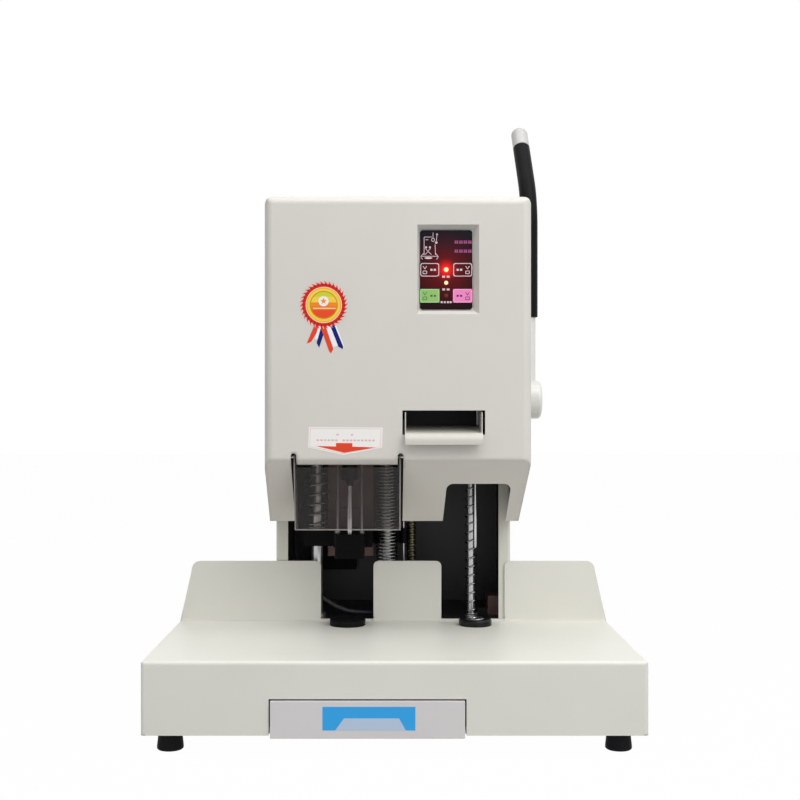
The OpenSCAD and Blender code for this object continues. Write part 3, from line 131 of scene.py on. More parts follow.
# Even soft surroundings that show as plain white
def makeWorld():
    world = bpy.data.worlds.new("studio")
    bpy.context.scene.world = world
    world.use_nodes = True
    tree = world.node_tree
    tree.nodes.clear()
    white = whiteRays(tree)
    soft = addNode(tree, "ShaderNodeBackground",
                   {"Color": linear(room["world"]), "Strength": room["worldLevel"]})
    seen = addNode(tree, "ShaderNodeBackground",
                   {"Color": (1, 1, 1, 1), "Strength": room["seenLevel"]})
    mix = addNode(tree, "ShaderNodeMixShader", links={
        0: white.outputs[0], 1: soft.outputs[0], 2: seen.outputs[0]})
    addNode(tree, "ShaderNodeOutputWorld", links={"Surface": mix.outputs[0]})


# The camera sees the floor as white, darkened only a little where the machine shades it
def makeFloor():
    mesh = bpy.data.meshes.new("floor")
    half = room["floorHalf"]
    mesh.from_pydata([(-half, -half, 0), (half, -half, 0), (half, half, 0), (-half, half, 0)],
                     [], [(0, 1, 2, 3)])
    obj = bpy.data.objects.new("floor", mesh)
    bpy.context.scene.collection.objects.link(obj)
    material, tree = startMaterial("white_floor")
    white = whiteRays(tree)
    lit = addNode(tree, "ShaderNodeBsdfDiffuse", {"Color": linear(room["floor"])})
    plain = addNode(tree, "ShaderNodeEmission", {"Color": (1, 1, 1, 1), "Strength": 1.0})
    share = addNode(tree, "ShaderNodeMath", {"operation": "MULTIPLY", 1: room["floorSeenWhite"]},
                    {0: white.outputs[0]})
    mix = addNode(tree, "ShaderNodeMixShader", links={
        0: share.outputs[0], 1: lit.outputs[0], 2: plain.outputs[0]})
    finishMaterial(tree, mix)
    mesh.materials.append(material)


# Square soft lamps, in metres and watts
lamps = [
    {"name": "key", "place": (1.2, -1.5, 0.7), "aim": (0, 0, 0.25), "size": 1.3, "watts": 5.7},
    {"name": "left", "place": (-1.5, -1.0, 0.6), "aim": (0, 0, 0.25), "size": 1.0, "watts": 2.9},
    {"name": "top", "place": (0.0, -0.55, 1.9), "aim": (0, 0, 0.1), "size": 2.0, "watts": 23.5},
    {"name": "right", "place": (1.0, -0.9, 1.6), "aim": (0, 0, 0.2), "size": 1.4, "watts": 17.6},
]


# Each lamp is turned from straight down to its aim: first about X, then about Z
def makeLamps():
    for lamp in lamps:
        light = bpy.data.lights.new(lamp["name"], "AREA")
        light.energy = lamp["watts"]
        light.size = lamp["size"]
        obj = bpy.data.objects.new(lamp["name"], light)
        obj.location = lamp["place"]
        way = np.array(lamp["aim"], float) - np.array(lamp["place"], float)
        obj.rotation_euler = (math.atan2(math.hypot(way[0], way[1]), -way[2]), 0,
                              math.atan2(-way[0], way[1]))
        bpy.context.scene.collection.objects.link(obj)


bpy.context.scene.view_settings.view_transform = "Standard"
makeCamera()
makeWorld()
makeFloor()
makeLamps()
print("camera, floor and lamps placed")


# Fine relief in object space: size is the spacing of its grains in metres
def surfaceBump(tree, size, height):
    place = addNode(tree, "ShaderNodeTexCoord")
    grain = addNode(tree, "ShaderNodeTexNoise", {"Scale": 1 / size, "Detail": 2.0},
                    {"Vector": place.outputs["Object"]})
    return addNode(tree, "ShaderNodeBump", {"Strength": 0.35, "Distance": height},
                   {"Height": grain.outputs["Fac"]})


# Colour that drifts between two near shades over a given distance
def mottled(tree, base, other, size):
    place = addNode(tree, "ShaderNodeTexCoord")
    cloud = addNode(tree, "ShaderNodeTexNoise", {"Scale": 1 / size, "Detail": 3.0},
                    {"Vector": place.outputs["Object"]})
    ramp = addNode(tree, "ShaderNodeValToRGB", links={"Fac": cloud.outputs["Fac"]})
    ramp.color_ramp.elements[0].color = linear(base)
    ramp.color_ramp.elements[1].color = linear(other)
    ramp.color_ramp.elements[0].position = 0.25
    ramp.color_ramp.elements[1].position = 0.75
    return ramp


# Object coordinates by name. "slope" is y + z, which is even along the chin of the head, and
# "lean" is x - 0.0966 z, which is even along the head's right side where it draws in
def coordinates(tree):
    place = addNode(tree, "ShaderNodeTexCoord")
    split = addNode(tree, "ShaderNodeSeparateXYZ", links={"Vector": place.outputs["Object"]})
    slope = addNode(tree, "ShaderNodeMath", {"operation": "ADD"},
                    {0: split.outputs["Y"], 1: split.outputs["Z"]})
    lean = addNode(tree, "ShaderNodeMath", {"operation": "MULTIPLY_ADD", 1: -0.0966},
                   {0: split.outputs["Z"], 2: split.outputs["X"]})
    return {"X": split.outputs["X"], "Y": split.outputs["Y"], "Z": split.outputs["Z"],
            "slope": slope.outputs[0], "lean": lean.outputs[0]}


# Normal that turns softly round the outer folds, which lie where two of the zones (mm) meet
def softNormal(tree, folds):
    sources = coordinates(tree)
    total = None
    for axis, low, high in folds["zones"]:
        middle, half = (low + high) / 2 * mm, (high - low) / 2 * mm
        near = addNode(tree, "ShaderNodeMath", {"operation": "COMPARE", 1: middle, 2: half},
                       {0: sources[axis]})
        if total is None:
            total = near
        else:
            total = addNode(tree, "ShaderNodeMath", {"operation": "ADD"},
                            {0: total.outputs[0], 1: near.outputs[0]})
    both = addNode(tree, "ShaderNodeMath", {"operation": "GREATER_THAN", 1: 1.5},
                   {0: total.outputs[0]})
    plain = addNode(tree, "ShaderNodeNewGeometry")
    turned = addNode(tree, "ShaderNodeBevel", {"samples": 8, "Radius": folds["radius"] * mm})
    return addNode(tree, "ShaderNodeMixRGB", links={
        "Fac": both.outputs[0], "Color1": plain.outputs["Normal"], "Color2": turned.outputs[0]})


# One inside a space given by lower and upper limits in millimetres, and zero elsewhere
def insideMask(tree, limits):
    sources = coordinates(tree)
    mask = None
    for axis, span in limits.items():
        for test, limit in zip(("GREATER_THAN", "LESS_THAN"), span):
            side = addNode(tree, "ShaderNodeMath", {"operation": test, 1: limit * mm},
                           {0: sources[axis]})
            if mask is None:
                mask = side
            else:
                mask = addNode(tree, "ShaderNodeMath", {"operation": "MULTIPLY"},
                               {0: mask.outputs[0], 1: side.outputs[0]})
    return mask


# Painted shade: the near black of faces inside the column and head, and the dark that the outlet
# tray fades to in its depth
shadows = {"inside": "#252527", "depth": "#1C1C1D"}
coatRoughness = 0.08


# One dielectric or metal with a fine relief and a slow drift of its colour. "inside" names the
# space in which its faces are painted near black as shade, "fade" the places along Y (mm) between
# which it is painted darker as shade, and "folds" the zones in which its edges look rounded
def plainMaterial(name, finish):
    material, tree = startMaterial(name)
    colour = mottled(tree, finish["colour"], finish["colour2"], finish.get("drift", 0.04))
    # Painted shade: faces inside the given space take the near black of shade
    if "inside" in finish:
        mask = insideMask(tree, finish["inside"])
        colour = addNode(tree, "ShaderNodeMixRGB", {"Color2": linear(shadows["inside"])},
                         {"Fac": mask.outputs[0], "Color1": colour.outputs[0]})
    # Painted shade: the colour darkens along Y where the outlet tray runs back into the unlit head
    if "fade" in finish:
        near, deep = finish["fade"]
        depth = addNode(tree, "ShaderNodeMapRange", {"From Min": near * mm, "From Max": deep * mm},
                        {"Value": coordinates(tree)["Y"]})
        colour = addNode(tree, "ShaderNodeMixRGB", {"Color2": linear(shadows["depth"])},
                         {"Fac": depth.outputs["Result"], "Color1": colour.outputs[0]})
    bump = surfaceBump(tree, finish["grain"], finish["relief"])
    if "folds" in finish:
        soft = softNormal(tree, finish["folds"])
        tree.links.new(soft.outputs[0], bump.inputs["Normal"])
    settings = {"Metallic": finish.get("metallic", 0.0), "Roughness": finish["roughness"]}
    if "coat" in finish:
        settings["Coat Weight"] = finish["coat"]
        settings["Coat Roughness"] = coatRoughness
    if "ior" in finish:
        settings["IOR"] = finish["ior"]
    shader = addNode(tree, "ShaderNodeBsdfPrincipled", settings,
                     {"Base Color": colour.outputs[0], "Normal": bump.outputs[0]})
    finishMaterial(tree, shader)
    return material


# Spaces inside the column and the head, in millimetres, whose faces are painted near black as shade
columnShadeSpace = {"X": (-107.6, 107.6), "Y": (24.9, 148.2), "Z": (60, 460)}
headShadeSpace = {"X": (-109.9, 116.9), "Y": (-63.5, 152.9), "Z": (150, 454.4), "slope": (161.5, 900),
              "lean": (-900, 94.7)}

# Zones beside the folds of the bent base and of the moulded head
sheetFolds = {"radius": 3.0, "zones": [("X", -204, -196), ("X", 196, 204), ("Y", -170, -162),
                                       ("Y", 17, 25), ("Z", 70, 79)]}
headFolds = {"radius": 5.5, "zones": [("X", -116, -105), ("X", 112, 124), ("lean", 90, 98),
                                      ("Y", -76, -63), ("Y", 149, 160), ("Z", 449.5, 460),
                                      ("slope", 150, 166)]}

# Powder coat on bent steel: satin, with an even orange peel about 1.5 mm across.
# Moulded ABS: a finer, drier grain. Both are a warm light grey, with painted shade in near black on
# faces inside the column and head.
finishes = {
    "painted_sheet": {"colour": "#DFDED6", "colour2": "#DAD9D0", "grain": 0.0014, "relief": 0.00010,
                      "roughness": 0.42, "ior": 1.5, "drift": 0.08, "inside": columnShadeSpace,
                      "folds": sheetFolds},
    "painted_column": {"colour": "#D9D8CD", "colour2": "#D4D3C7", "grain": 0.0014,
                       "relief": 0.00010, "roughness": 0.42, "ior": 1.5, "drift": 0.08,
                       "inside": columnShadeSpace},
    "painted_drawer": {"colour": "#D6D3D3", "colour2": "#D2CFCF", "grain": 0.0014,
                       "relief": 0.00010, "roughness": 0.42, "ior": 1.5, "drift": 0.05},
    "moulded_abs": {"colour": "#D5D2CC", "colour2": "#D1CDC7", "grain": 0.0009, "relief": 0.00008,
                    "roughness": 0.5, "ior": 1.53, "drift": 0.07, "inside": headShadeSpace,
                    "folds": headFolds},
    # The tray's fade is painted shade towards the back of the outlet
    "tray_abs": {"colour": "#CECBC3", "colour2": "#CAC7BF", "grain": 0.0009, "relief": 0.00008,
                 "roughness": 0.5, "ior": 1.53, "drift": 0.05, "fade": (-46, -28)},
    "zinc_steel": {"colour": "#C9CACB", "colour2": "#B7B9BB", "grain": 0.003, "relief": 0.00003,
                   "roughness": 0.35, "metallic": 1.0, "drift": 0.01},
    "cast_iron": {"colour": "#2C2D2F", "colour2": "#242527", "grain": 0.0015, "relief": 0.0002,
                  "roughness": 0.6, "ior": 1.15, "drift": 0.015},
    "rubber": {"colour": "#1E1E20", "colour2": "#232325", "grain": 0.0008, "relief": 0.00008,
               "roughness": 0.6, "ior": 1.15, "drift": 0.01},
    "grip_rubber": {"colour": "#0E0E10", "colour2": "#141416", "grain": 0.001, "relief": 0.00005,
                    "roughness": 0.42, "ior": 1.15, "drift": 0.02},
    "machined_aluminium": {"colour": "#A9ABAD", "colour2": "#9FA1A3", "grain": 0.0006,
                           "relief": 0.00003, "roughness": 0.34, "metallic": 1.0, "drift": 0.02},
    "green_key": {"colour": "#4FC463", "colour2": "#45BB5A", "grain": 0.002, "relief": 0.00002,
                  "roughness": 0.25, "coat": 0.5, "drift": 0.02},
    "pink_key": {"colour": "#F0579A", "colour2": "#E94C90", "grain": 0.002, "relief": 0.00002,
                 "roughness": 0.25, "coat": 0.5, "drift": 0.02},
    "circuit_board": {"colour": "#0E4A2A", "colour2": "#0B3D22", "grain": 0.002, "relief": 0.00005,
                      "roughness": 0.35, "drift": 0.004},
    "chrome_rod": {"colour": "#BFC0C0", "colour2": "#B2B3B4", "grain": 0.0015, "relief": 0.00001,
                   "roughness": 0.3, "metallic": 0.9, "drift": 0.02},
    "ground_rod": {"colour": "#8E8A8A", "colour2": "#827E7E", "grain": 0.0008, "relief": 0.00003,
                   "roughness": 0.38, "metallic": 0.9, "drift": 0.02},
    "tool_steel": {"colour": "#C9CACB", "colour2": "#B4B5B7", "grain": 0.0007, "relief": 0.00003,
                   "roughness": 0.27, "metallic": 1.0, "drift": 0.01},
    "bronze": {"colour": "#6E5834", "colour2": "#5E4A2B", "grain": 0.0006, "relief": 0.00004,
               "roughness": 0.38, "metallic": 1.0, "drift": 0.006},
    "motor_steel": {"colour": "#1C1D1F", "colour2": "#161719", "grain": 0.0012, "relief": 0.00006,
                    "roughness": 0.4, "ior": 1.15, "drift": 0.02},
    "blackened_steel": {"colour": "#121214", "colour2": "#0C0C0E", "grain": 0.0008,
                        "relief": 0.00004, "roughness": 0.35, "metallic": 0.6, "drift": 0.008},
    "black_paint": {"colour": "#0A0A0B", "colour2": "#070708", "grain": 0.0012, "relief": 0.00006,
                    "roughness": 0.42, "ior": 1.15, "drift": 0.01},
    "spring_steel": {"colour": "#A5A5A3", "colour2": "#908F8D", "grain": 0.0008, "relief": 0.00003,
                     "roughness": 0.24, "metallic": 1.0, "drift": 0.006},
    "oiled_screw": {"colour": "#6B6450", "colour2": "#575140", "grain": 0.0008, "relief": 0.00005,
                    "roughness": 0.3, "metallic": 0.85, "drift": 0.006},
    "black_nylon": {"colour": "#0D0D0E", "colour2": "#131314", "grain": 0.0008, "relief": 0.00005,
                    "roughness": 0.5, "ior": 1.15, "drift": 0.006},
    "phenolic": {"colour": "#8E6A69", "colour2": "#82605D", "grain": 0.0011, "relief": 0.00005,
                 "roughness": 0.4, "drift": 0.01},
    "white_enamel": {"colour": "#DBDAD5", "colour2": "#D7D6D1", "grain": 0.0016, "relief": 0.00005,
                     "roughness": 0.3, "coat": 0.3, "drift": 0.03},
    "white_plastic": {"colour": "#B9B8B6", "colour2": "#B4B3B1", "grain": 0.001, "relief": 0.00004,
                      "roughness": 0.35, "drift": 0.02},
    "black_plastic": {"colour": "#18181A", "colour2": "#121214", "grain": 0.0007, "relief": 0.00006,
                      "roughness": 0.48, "ior": 1.15, "drift": 0.01},
    "chute_abs": {"colour": "#3C3C3D", "colour2": "#363637", "grain": 0.0009, "relief": 0.00005,
                  "roughness": 0.5, "ior": 1.3, "drift": 0.03},
    "red_plastic": {"colour": "#B3201C", "colour2": "#A81C19", "grain": 0.001, "relief": 0.00003,
                    "roughness": 0.3, "drift": 0.01},
    "grey_sleeve": {"colour": "#4A4B50", "colour2": "#3C3D41", "grain": 0.0008, "relief": 0.0001,
                    "roughness": 0.4, "drift": 0.004},
}

# Clear acrylic sheet: what one surface passes, the haze on it, and its milky cut edges (mm)
acrylic = {"tint": "#DCD9D8", "haze": 0.02, "edgeHaze": 0.28, "rim": 1.1,
           "hazeColour": "#F0EAE6", "ior": 1.2, "gloss": 0.05}


# Thin clear sheet: grey cast, faint haze, mirror sheen at grazing angles, lighter cut edges
def acrylicMaterial():
    low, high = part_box("drill_guard")
    material, tree = startMaterial("clear_acrylic")
    core = insideMask(tree, {"X": (low[0] / mm + acrylic["rim"], high[0] / mm - acrylic["rim"]),
                             "Z": (low[2] / mm + acrylic["rim"], 900)})
    haze = addNode(tree, "ShaderNodeMath", {"operation": "MULTIPLY_ADD",
                   1: acrylic["haze"] - acrylic["edgeHaze"], 2: acrylic["edgeHaze"]},
                   {0: core.outputs[0]})
    clear = addNode(tree, "ShaderNodeBsdfTransparent", {"Color": linear(acrylic["tint"])})
    milk = addNode(tree, "ShaderNodeBsdfDiffuse", {"Color": linear(acrylic["hazeColour"])})
    sheet = addNode(tree, "ShaderNodeMixShader", links={
        0: haze.outputs[0], 1: clear.outputs[0], 2: milk.outputs[0]})
    sheen = addNode(tree, "ShaderNodeFresnel", {"IOR": acrylic["ior"]})
    gloss = addNode(tree, "ShaderNodeBsdfGlossy", {"Roughness": acrylic["gloss"]})
    mix = addNode(tree, "ShaderNodeMixShader", links={
        0: sheen.outputs[0], 1: sheet.outputs[0], 2: gloss.outputs[0]})
    finishMaterial(tree, mix)
    return material


# Shades of the film by height, and the painted glow of the lit lamp, given off by the film itself:
# a tight bright patch and a wide dim one, each with inner and outer radius and level (metres)
film = {"low": 0.356, "high": 0.428, "ends": ("#120709", "#15161F"),
        "between": ((0.35, "#26090F"), (0.7, "#1A0D16")), "roughness": 0.3, "ior": 1.2,
        "grain": 0.004, "relief": 0.00001,
        "glowPlace": (0.0453, -0.065, 0.3932), "glow": "#FF1A12", "falloff": 1.8,
        "patches": ((0.001, 0.011, 1.2), (0.003, 0.038, 0.15))}


# Smoked polyester film of the key panel: blue-black above, dark red below, and a painted red glow
# round the lamp.
# Each patch of painted glow is its level times a power of how far a place lies inside its outer
# radius
def filmMaterial():
    material, tree = startMaterial("panel_film")
    place = addNode(tree, "ShaderNodeTexCoord")
    height = addNode(tree, "ShaderNodeMapRange",
                     {"From Min": film["low"], "From Max": film["high"]},
                     {"Value": coordinates(tree)["Z"]})
    shade = addNode(tree, "ShaderNodeValToRGB", links={"Fac": height.outputs["Result"]})
    ramp = shade.color_ramp
    ramp.elements[0].color, ramp.elements[1].color = map(linear, film["ends"])
    for position, colour in film["between"]:
        ramp.elements.new(position).color = linear(colour)
    # Painted light: the film itself gives off the lamp's red glow round the lamp's place
    away = addNode(tree, "ShaderNodeVectorMath", {"operation": "DISTANCE", 1: film["glowPlace"]},
                   {0: place.outputs["Object"]})
    patches = []
    for inner, outer, level in film["patches"]:
        fade = addNode(tree, "ShaderNodeMapRange", {
            "From Min": inner, "From Max": outer, "To Min": 1.0, "To Max": 0.0},
            {"Value": away.outputs["Value"]})
        curve = addNode(tree, "ShaderNodeMath", {"operation": "POWER", 1: film["falloff"]},
                        {0: fade.outputs["Result"]})
        patches.append(addNode(tree, "ShaderNodeMath", {"operation": "MULTIPLY", 1: level},
                               {0: curve.outputs[0]}))
    lit = addNode(tree, "ShaderNodeMath", {"operation": "ADD"},
                  {0: patches[0].outputs[0], 1: patches[1].outputs[0]})
    bump = surfaceBump(tree, film["grain"], film["relief"])
    shader = addNode(tree, "ShaderNodeBsdfPrincipled", {
        "Roughness": film["roughness"], "IOR": film["ior"], "Emission Color": linear(film["glow"])},
        {"Base Color": shade.outputs[0], "Normal": bump.outputs[0],
         "Emission Strength": lit.outputs[0]})
    finishMaterial(tree, shader)
    return material


materials = {name: plainMaterial(name, finish) for name, finish in finishes.items()}
materials["clear_acrylic"] = acrylicMaterial()
materials["panel_film"] = filmMaterial()
print("materials:", len(materials))


# How the frame's pieces are cleaned and shaded: metres, degrees and a percentage
dressing = {"weld": 0.00002, "flat": 0.5, "sharp": 35, "level": 60, "bevelSteps": 2}


# Node group that shades round stretches smooth and keeps the sharper edges sharp
def smoothByAngle():
    group = bpy.data.node_groups.new("smooth_by_angle", "GeometryNodeTree")
    group.interface.new_socket("Geometry", in_out="INPUT", socket_type="NodeSocketGeometry")
    group.interface.new_socket("Geometry", in_out="OUTPUT", socket_type="NodeSocketGeometry")
    start = addNode(group, "NodeGroupInput")
    angle = addNode(group, "GeometryNodeInputMeshEdgeAngle")
    sharp = addNode(group, "FunctionNodeCompare", {"data_type": "FLOAT", "operation": "LESS_THAN"})
    group.links.new(angle.outputs["Unsigned Angle"], sharp.inputs[0])
    sharp.inputs[1].default_value = math.radians(dressing["sharp"])
    faces = addNode(group, "GeometryNodeSetShadeSmooth", {"domain": "FACE"},
                    {"Geometry": start.outputs[0]})
    edges = addNode(group, "GeometryNodeSetShadeSmooth", {"domain": "EDGE"},
                    {"Geometry": faces.outputs[0], "Shade Smooth": sharp.outputs[0]})
    addNode(group, "NodeGroupOutput", links={"Geometry": edges.outputs[0]})
    return group


smoothGroup = smoothByAngle()
# Broken edge of each piece, in millimetres; what isn't listed gets the usual one
edgeWidths = {"usual": 0.25, "base_front_cover": 0.5, "base_rear_cover": 0.5,
              "head_front_cover": 0.6, "head_rear_cover": 0.6, "drawer_front": 0.5,
              "tube_tray": 0.5, "presser_crosshead": 0.8, "lever_hub": 0.4}


# Welds, cleans, breaks the edges and shades one frame piece with live modifiers
def dressNode(name, material, width):
    obj = nodes[name]
    obj.data.materials.clear()
    obj.data.materials.append(material)
    weld = obj.modifiers.new("weld", "WELD")
    weld.merge_threshold = dressing["weld"]
    clean = obj.modifiers.new("clean", "DECIMATE")
    clean.decimate_type = "DISSOLVE"
    clean.angle_limit = math.radians(dressing["flat"])
    bevel = obj.modifiers.new("edges", "BEVEL")
    bevel.width = width * mm
    bevel.segments = dressing["bevelSteps"]
    bevel.limit_method = "ANGLE"
    bevel.angle_limit = math.radians(dressing["sharp"])
    bevel.use_clamp_overlap = True
    shade = obj.modifiers.new("shade", "NODES")
    shade.node_group = smoothGroup
    level = obj.modifiers.new("level", "WEIGHTED_NORMAL")
    level.keep_sharp = True
    level.weight = dressing["level"]


# Each piece has the finish of its slot in the record, or a closer match of its own
finishOf = {row["node"]: row["material_slot"] for row in frame["record"]["subparts"]}
finishOf.update({"tube_tray": "tray_abs", "drawer_front": "painted_drawer",
                 "lift_rods": "ground_rod"})
for nodeName in sorted(nodes):
    dressNode(nodeName, materials[finishOf[nodeName]],
              edgeWidths.get(nodeName, edgeWidths["usual"]))
print("frame pieces dressed")


# One object from whole lists of points and faces
def meshObject(name, points, faces, material, smooth=True):
    mesh = bpy.data.meshes.new(name)
    mesh.from_pydata(np.asarray(points).tolist(), [], faces)
    mesh.materials.append(material)
    mesh.polygons.foreach_set("use_smooth", [smooth] * len(mesh.polygons))
    mesh.update()
    obj = bpy.data.objects.new(name, mesh)
    bpy.context.scene.collection.objects.link(obj)
    return obj


# Quads between neighbouring rings of points, and one flat face over each end
def ringFaces(rings, sides):
    start = np.arange(rings - 1)[:, None] * sides
    here = start + np.arange(sides)
    after = start + (np.arange(sides) + 1) % sides
    quads = np.stack([here, after, after + sides, here + sides], axis=-1).reshape(-1, 4)
    last = np.arange(sides) + (rings - 1) * sides
    return quads.tolist() + [np.arange(sides)[::-1].tolist(), last.tolist()]


# Round section carried along a line of points in mm: each point of a ring is the line's point
# plus radius times cosine and sine of its angle along two directions across the line
def sweep(line, radii, sides, up=(0.03, 0.05, 1.0)):
    line = np.asarray(line, float)
    radii = np.broadcast_to(radii, len(line))
    ways = np.gradient(line, axis=0)
    ways /= np.linalg.norm(ways, axis=1)[:, None]
    first = np.cross(ways, up)
    first /= np.linalg.norm(first, axis=1)[:, None]
    second = np.cross(ways, first)
    turn = 2 * np.pi * np.arange(sides) / sides
    rings = line[:, None, :] + radii[:, None, None] * (
        np.cos(turn)[None, :, None] * first[:, None, :]
        + np.sin(turn)[None, :, None] * second[:, None, :])
    return rings.reshape(-1, 3) * mm, ringFaces(len(line), sides)


# Compression springs: place, outer diameter, wire, turns, heights in mm and what drives them
springs = {
    "return_coil": {"node": "return_spring", "body": "machine", "joint": "drill_feed",
                    "place": (-6, 38), "outer": 22, "wire": 1.7, "turns": 48,
                    "low": 79.5, "high": 226, "travel": 61},
    "presser_coil": {"node": "presser_spring", "body": "presser", "joint": "presser_slide",
                     "place": (-72, 38), "outer": 23.5, "wire": 1.9, "turns": 9.5,
                     "low": 158.4, "high": 226, "travel": 6},
    "ram_coil": {"node": "rivet_spring", "body": "machine", "joint": "ram_slide",
                 "place": (73.5, 38), "outer": 11.4, "wire": 1.5, "turns": 19,
                 "low": 77.5, "high": 215, "travel": 64},
}

# How finely a coil is drawn, and its closed turns at each end
coil = {"perTurn": 28, "closedTurns": 1.5, "wireSides": 8}


# Helix of wire: the height climbs by one wire a turn over the closed turns at both ends and
# by an even pitch between them, smoothed over half a turn
def makeSpring(name, spring):
    perTurn, closed = coil["perTurn"], coil["closedTurns"]
    count = int(spring["turns"] * perTurn)
    turn = np.arange(count + 1) / perTurn
    wire = spring["wire"]
    span = spring["high"] - spring["low"] - wire
    pitch = (span - 2 * closed * wire) / (spring["turns"] - 2 * closed)
    height = np.interp(turn, [0, closed, spring["turns"] - closed, spring["turns"]],
                       [0, closed * wire, span - closed * wire, span])
    kernel = np.ones(perTurn // 2) / (perTurn // 2)
    padded = np.pad(height, perTurn // 4, mode="edge")
    height = np.convolve(padded, kernel, mode="same")[perTurn // 4:perTurn // 4 + count + 1]
    radius = (spring["outer"] - wire) / 2
    angle = 2 * np.pi * turn
    line = np.stack([spring["place"][0] + radius * np.cos(angle),
                     spring["place"][1] + radius * np.sin(angle),
                     spring["low"] + wire / 2 + np.clip(height, 0, span)], axis=1)
    points, faces = sweep(line, wire / 2, coil["wireSides"])
    obj = meshObject(name, points, faces, materials["spring_steel"])
    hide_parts(spring["node"])
    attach(obj, spring["body"])
    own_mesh(obj)
    print(name, "pitch", round(pitch, 2), "mm,", len(faces), "faces")


for springName, springSize in springs.items():
    makeSpring(springName, springSize)


# Hand lever in mm and degrees: its axis, the straight and bent stretches of its centre line,
# the turn of its bend inward, and the diameters and ends of its bar, sleeve and cap
lever = {"x": 128.18, "y": 34, "z": 281, "straight": 162, "radius": 80, "bend": 36, "yaw": 4,
         "tail": 45, "arm": 12, "grip": 16, "armFrom": 11.05, "gripFrom": 77.5, "cap": 24,
         "barInCap": 11.5, "capGap": 0.05, "least": 0.3, "step": 0.5, "sides": 40,
         "endRings": 16, "keepEvery": 6}


# Points on the lever's centre line between two distances from its axis: up the straight part,
# then round a circle through the bend, then straight on in the bend's last direction
def leverLine(start, end, step):
    s = np.linspace(start, end, max(2, int((end - start) / step) + 1))
    bend, yaw, radius = math.radians(lever["bend"]), math.radians(lever["yaw"]), lever["radius"]
    turned = np.clip((s - lever["straight"]) / radius, 0, bend)
    rest = np.maximum(s - lever["straight"] - bend * radius, 0)
    reach = radius * (1 - np.cos(turned)) + rest * math.sin(bend)
    rise = np.minimum(s, lever["straight"]) + radius * np.sin(turned) + rest * math.cos(bend)
    return np.stack([lever["x"] - reach * math.sin(yaw), lever["y"] + reach * math.cos(yaw),
                     lever["z"] + rise], axis=1)


# Radii along a bar whose two ends are rounded over the given lengths in mm, each by a quarter
# of a circle
def roundedRadii(count, step, radius, start, end):
    s = np.arange(count) * step
    total = s[-1]
    radii = np.full(count, float(radius))
    for length, distance in ((start, s), (end, total - s)):
        if length > 0:
            inside = distance < length
            sink = length * (1 - np.sqrt(1 - (1 - distance[inside] / length) ** 2))
            radii[inside] = np.minimum(radii[inside], radius - sink)
    return np.maximum(radii, lever["least"])


# Arm, rubber grip and end cap, each as one smooth round sweep. Both ends keep all their rings;
# between them only some are needed
def makeLever():
    arc = math.radians(lever["bend"]) * lever["radius"]
    gripEnd = lever["straight"] + arc + lever["tail"]
    parts = [
        ("lever_bar", "lever_arm", "white_enamel", lever["armFrom"], gripEnd + lever["barInCap"],
         lever["arm"] / 2, 0, 0),
        ("lever_sleeve", "lever_grip", "grip_rubber", lever["gripFrom"], gripEnd,
         lever["grip"] / 2, 1.2, 0.6),
        ("lever_knob", "lever_cap", "white_plastic", gripEnd + lever["capGap"],
         gripEnd + lever["cap"], lever["grip"] / 2, 0.5, 5.5),
    ]
    for name, node, finish, start, end, radius, roundStart, roundEnd in parts:
        line = leverLine(start, end, lever["step"])
        radii = roundedRadii(len(line), (end - start) / (len(line) - 1), radius,
                             roundStart, roundEnd)
        index = np.arange(len(line))
        fromEnd = np.minimum(index, len(line) - 1 - index)
        keep = (fromEnd < lever["endRings"]) | (index % lever["keepEvery"] == 0)
        points, faces = sweep(line[keep], radii[keep], lever["sides"], up=(1, 0.02, 0.01))
        obj = meshObject(name, points, faces, materials[finish])
        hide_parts(node)
        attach(obj, "lever")


makeLever()
print("springs and lever made")


# Printing inks, foils and the plastic of the unlit lamp
inks = {
    "sticker_white": "#F1EFEC", "sticker_red": "#E2492F", "sticker_pink": "#E4B4B8",
    "foil_red": "#D62A22", "foil_dark_red": "#8E1518", "foil_pale": "#F4C9BE",
    "foil_cream": "#F6DFB4", "foil_orange": "#F08A2C", "foil_yellow": "#F2CF4E",
    "foil_gold": "#B98D1E", "foil_lime": "#C9D23C", "foil_amber": "#EE7A2B",
    "foil_sunset": "#E8502A", "ribbon_red": "#E0492D", "ribbon_blue": "#101F70",
    "ribbon_white": "#F2EFF4", "label_blue": "#3AA6EA", "label_pale": "#B9CBE0",
    "print_white": "#D8C8CE", "print_pink": "#A8578F", "key_green_face": "#93BE74",
    "key_green_edge": "#B4D59A", "key_pink_face": "#EE8CC4", "key_pink_edge": "#F5B2D8",
    "print_green": "#3E7A2A", "print_purple": "#7E2766", "lamp_off": "#6A2A1C",
}
inkSurface = {"grain": 0.0012, "relief": 0.00001, "roughness": 0.4, "ior": 1.25}


# Printed or foil surface: even colour, half gloss, a faint paper-like relief
def inkMaterial(name, colour):
    material, tree = startMaterial(name)
    bump = surfaceBump(tree, inkSurface["grain"], inkSurface["relief"])
    shader = addNode(tree, "ShaderNodeBsdfPrincipled",
                     {"Base Color": linear(colour), "Roughness": inkSurface["roughness"],
                      "IOR": inkSurface["ior"]}, {"Normal": bump.outputs[0]})
    finishMaterial(tree, shader)
    return material


for inkName, inkColour in inks.items():
    materials[inkName] = inkMaterial(inkName, inkColour)


# Points round a circle, or an ellipse where radiusZ is given: the centre plus the radius times
# cosine and sine of the turn
def circle(x, z, radius, count=48, radiusZ=None):
    turn = 2 * np.pi * np.arange(count) / count
    return np.stack([x + radius * np.cos(turn), z + (radiusZ or radius) * np.sin(turn)], axis=1)


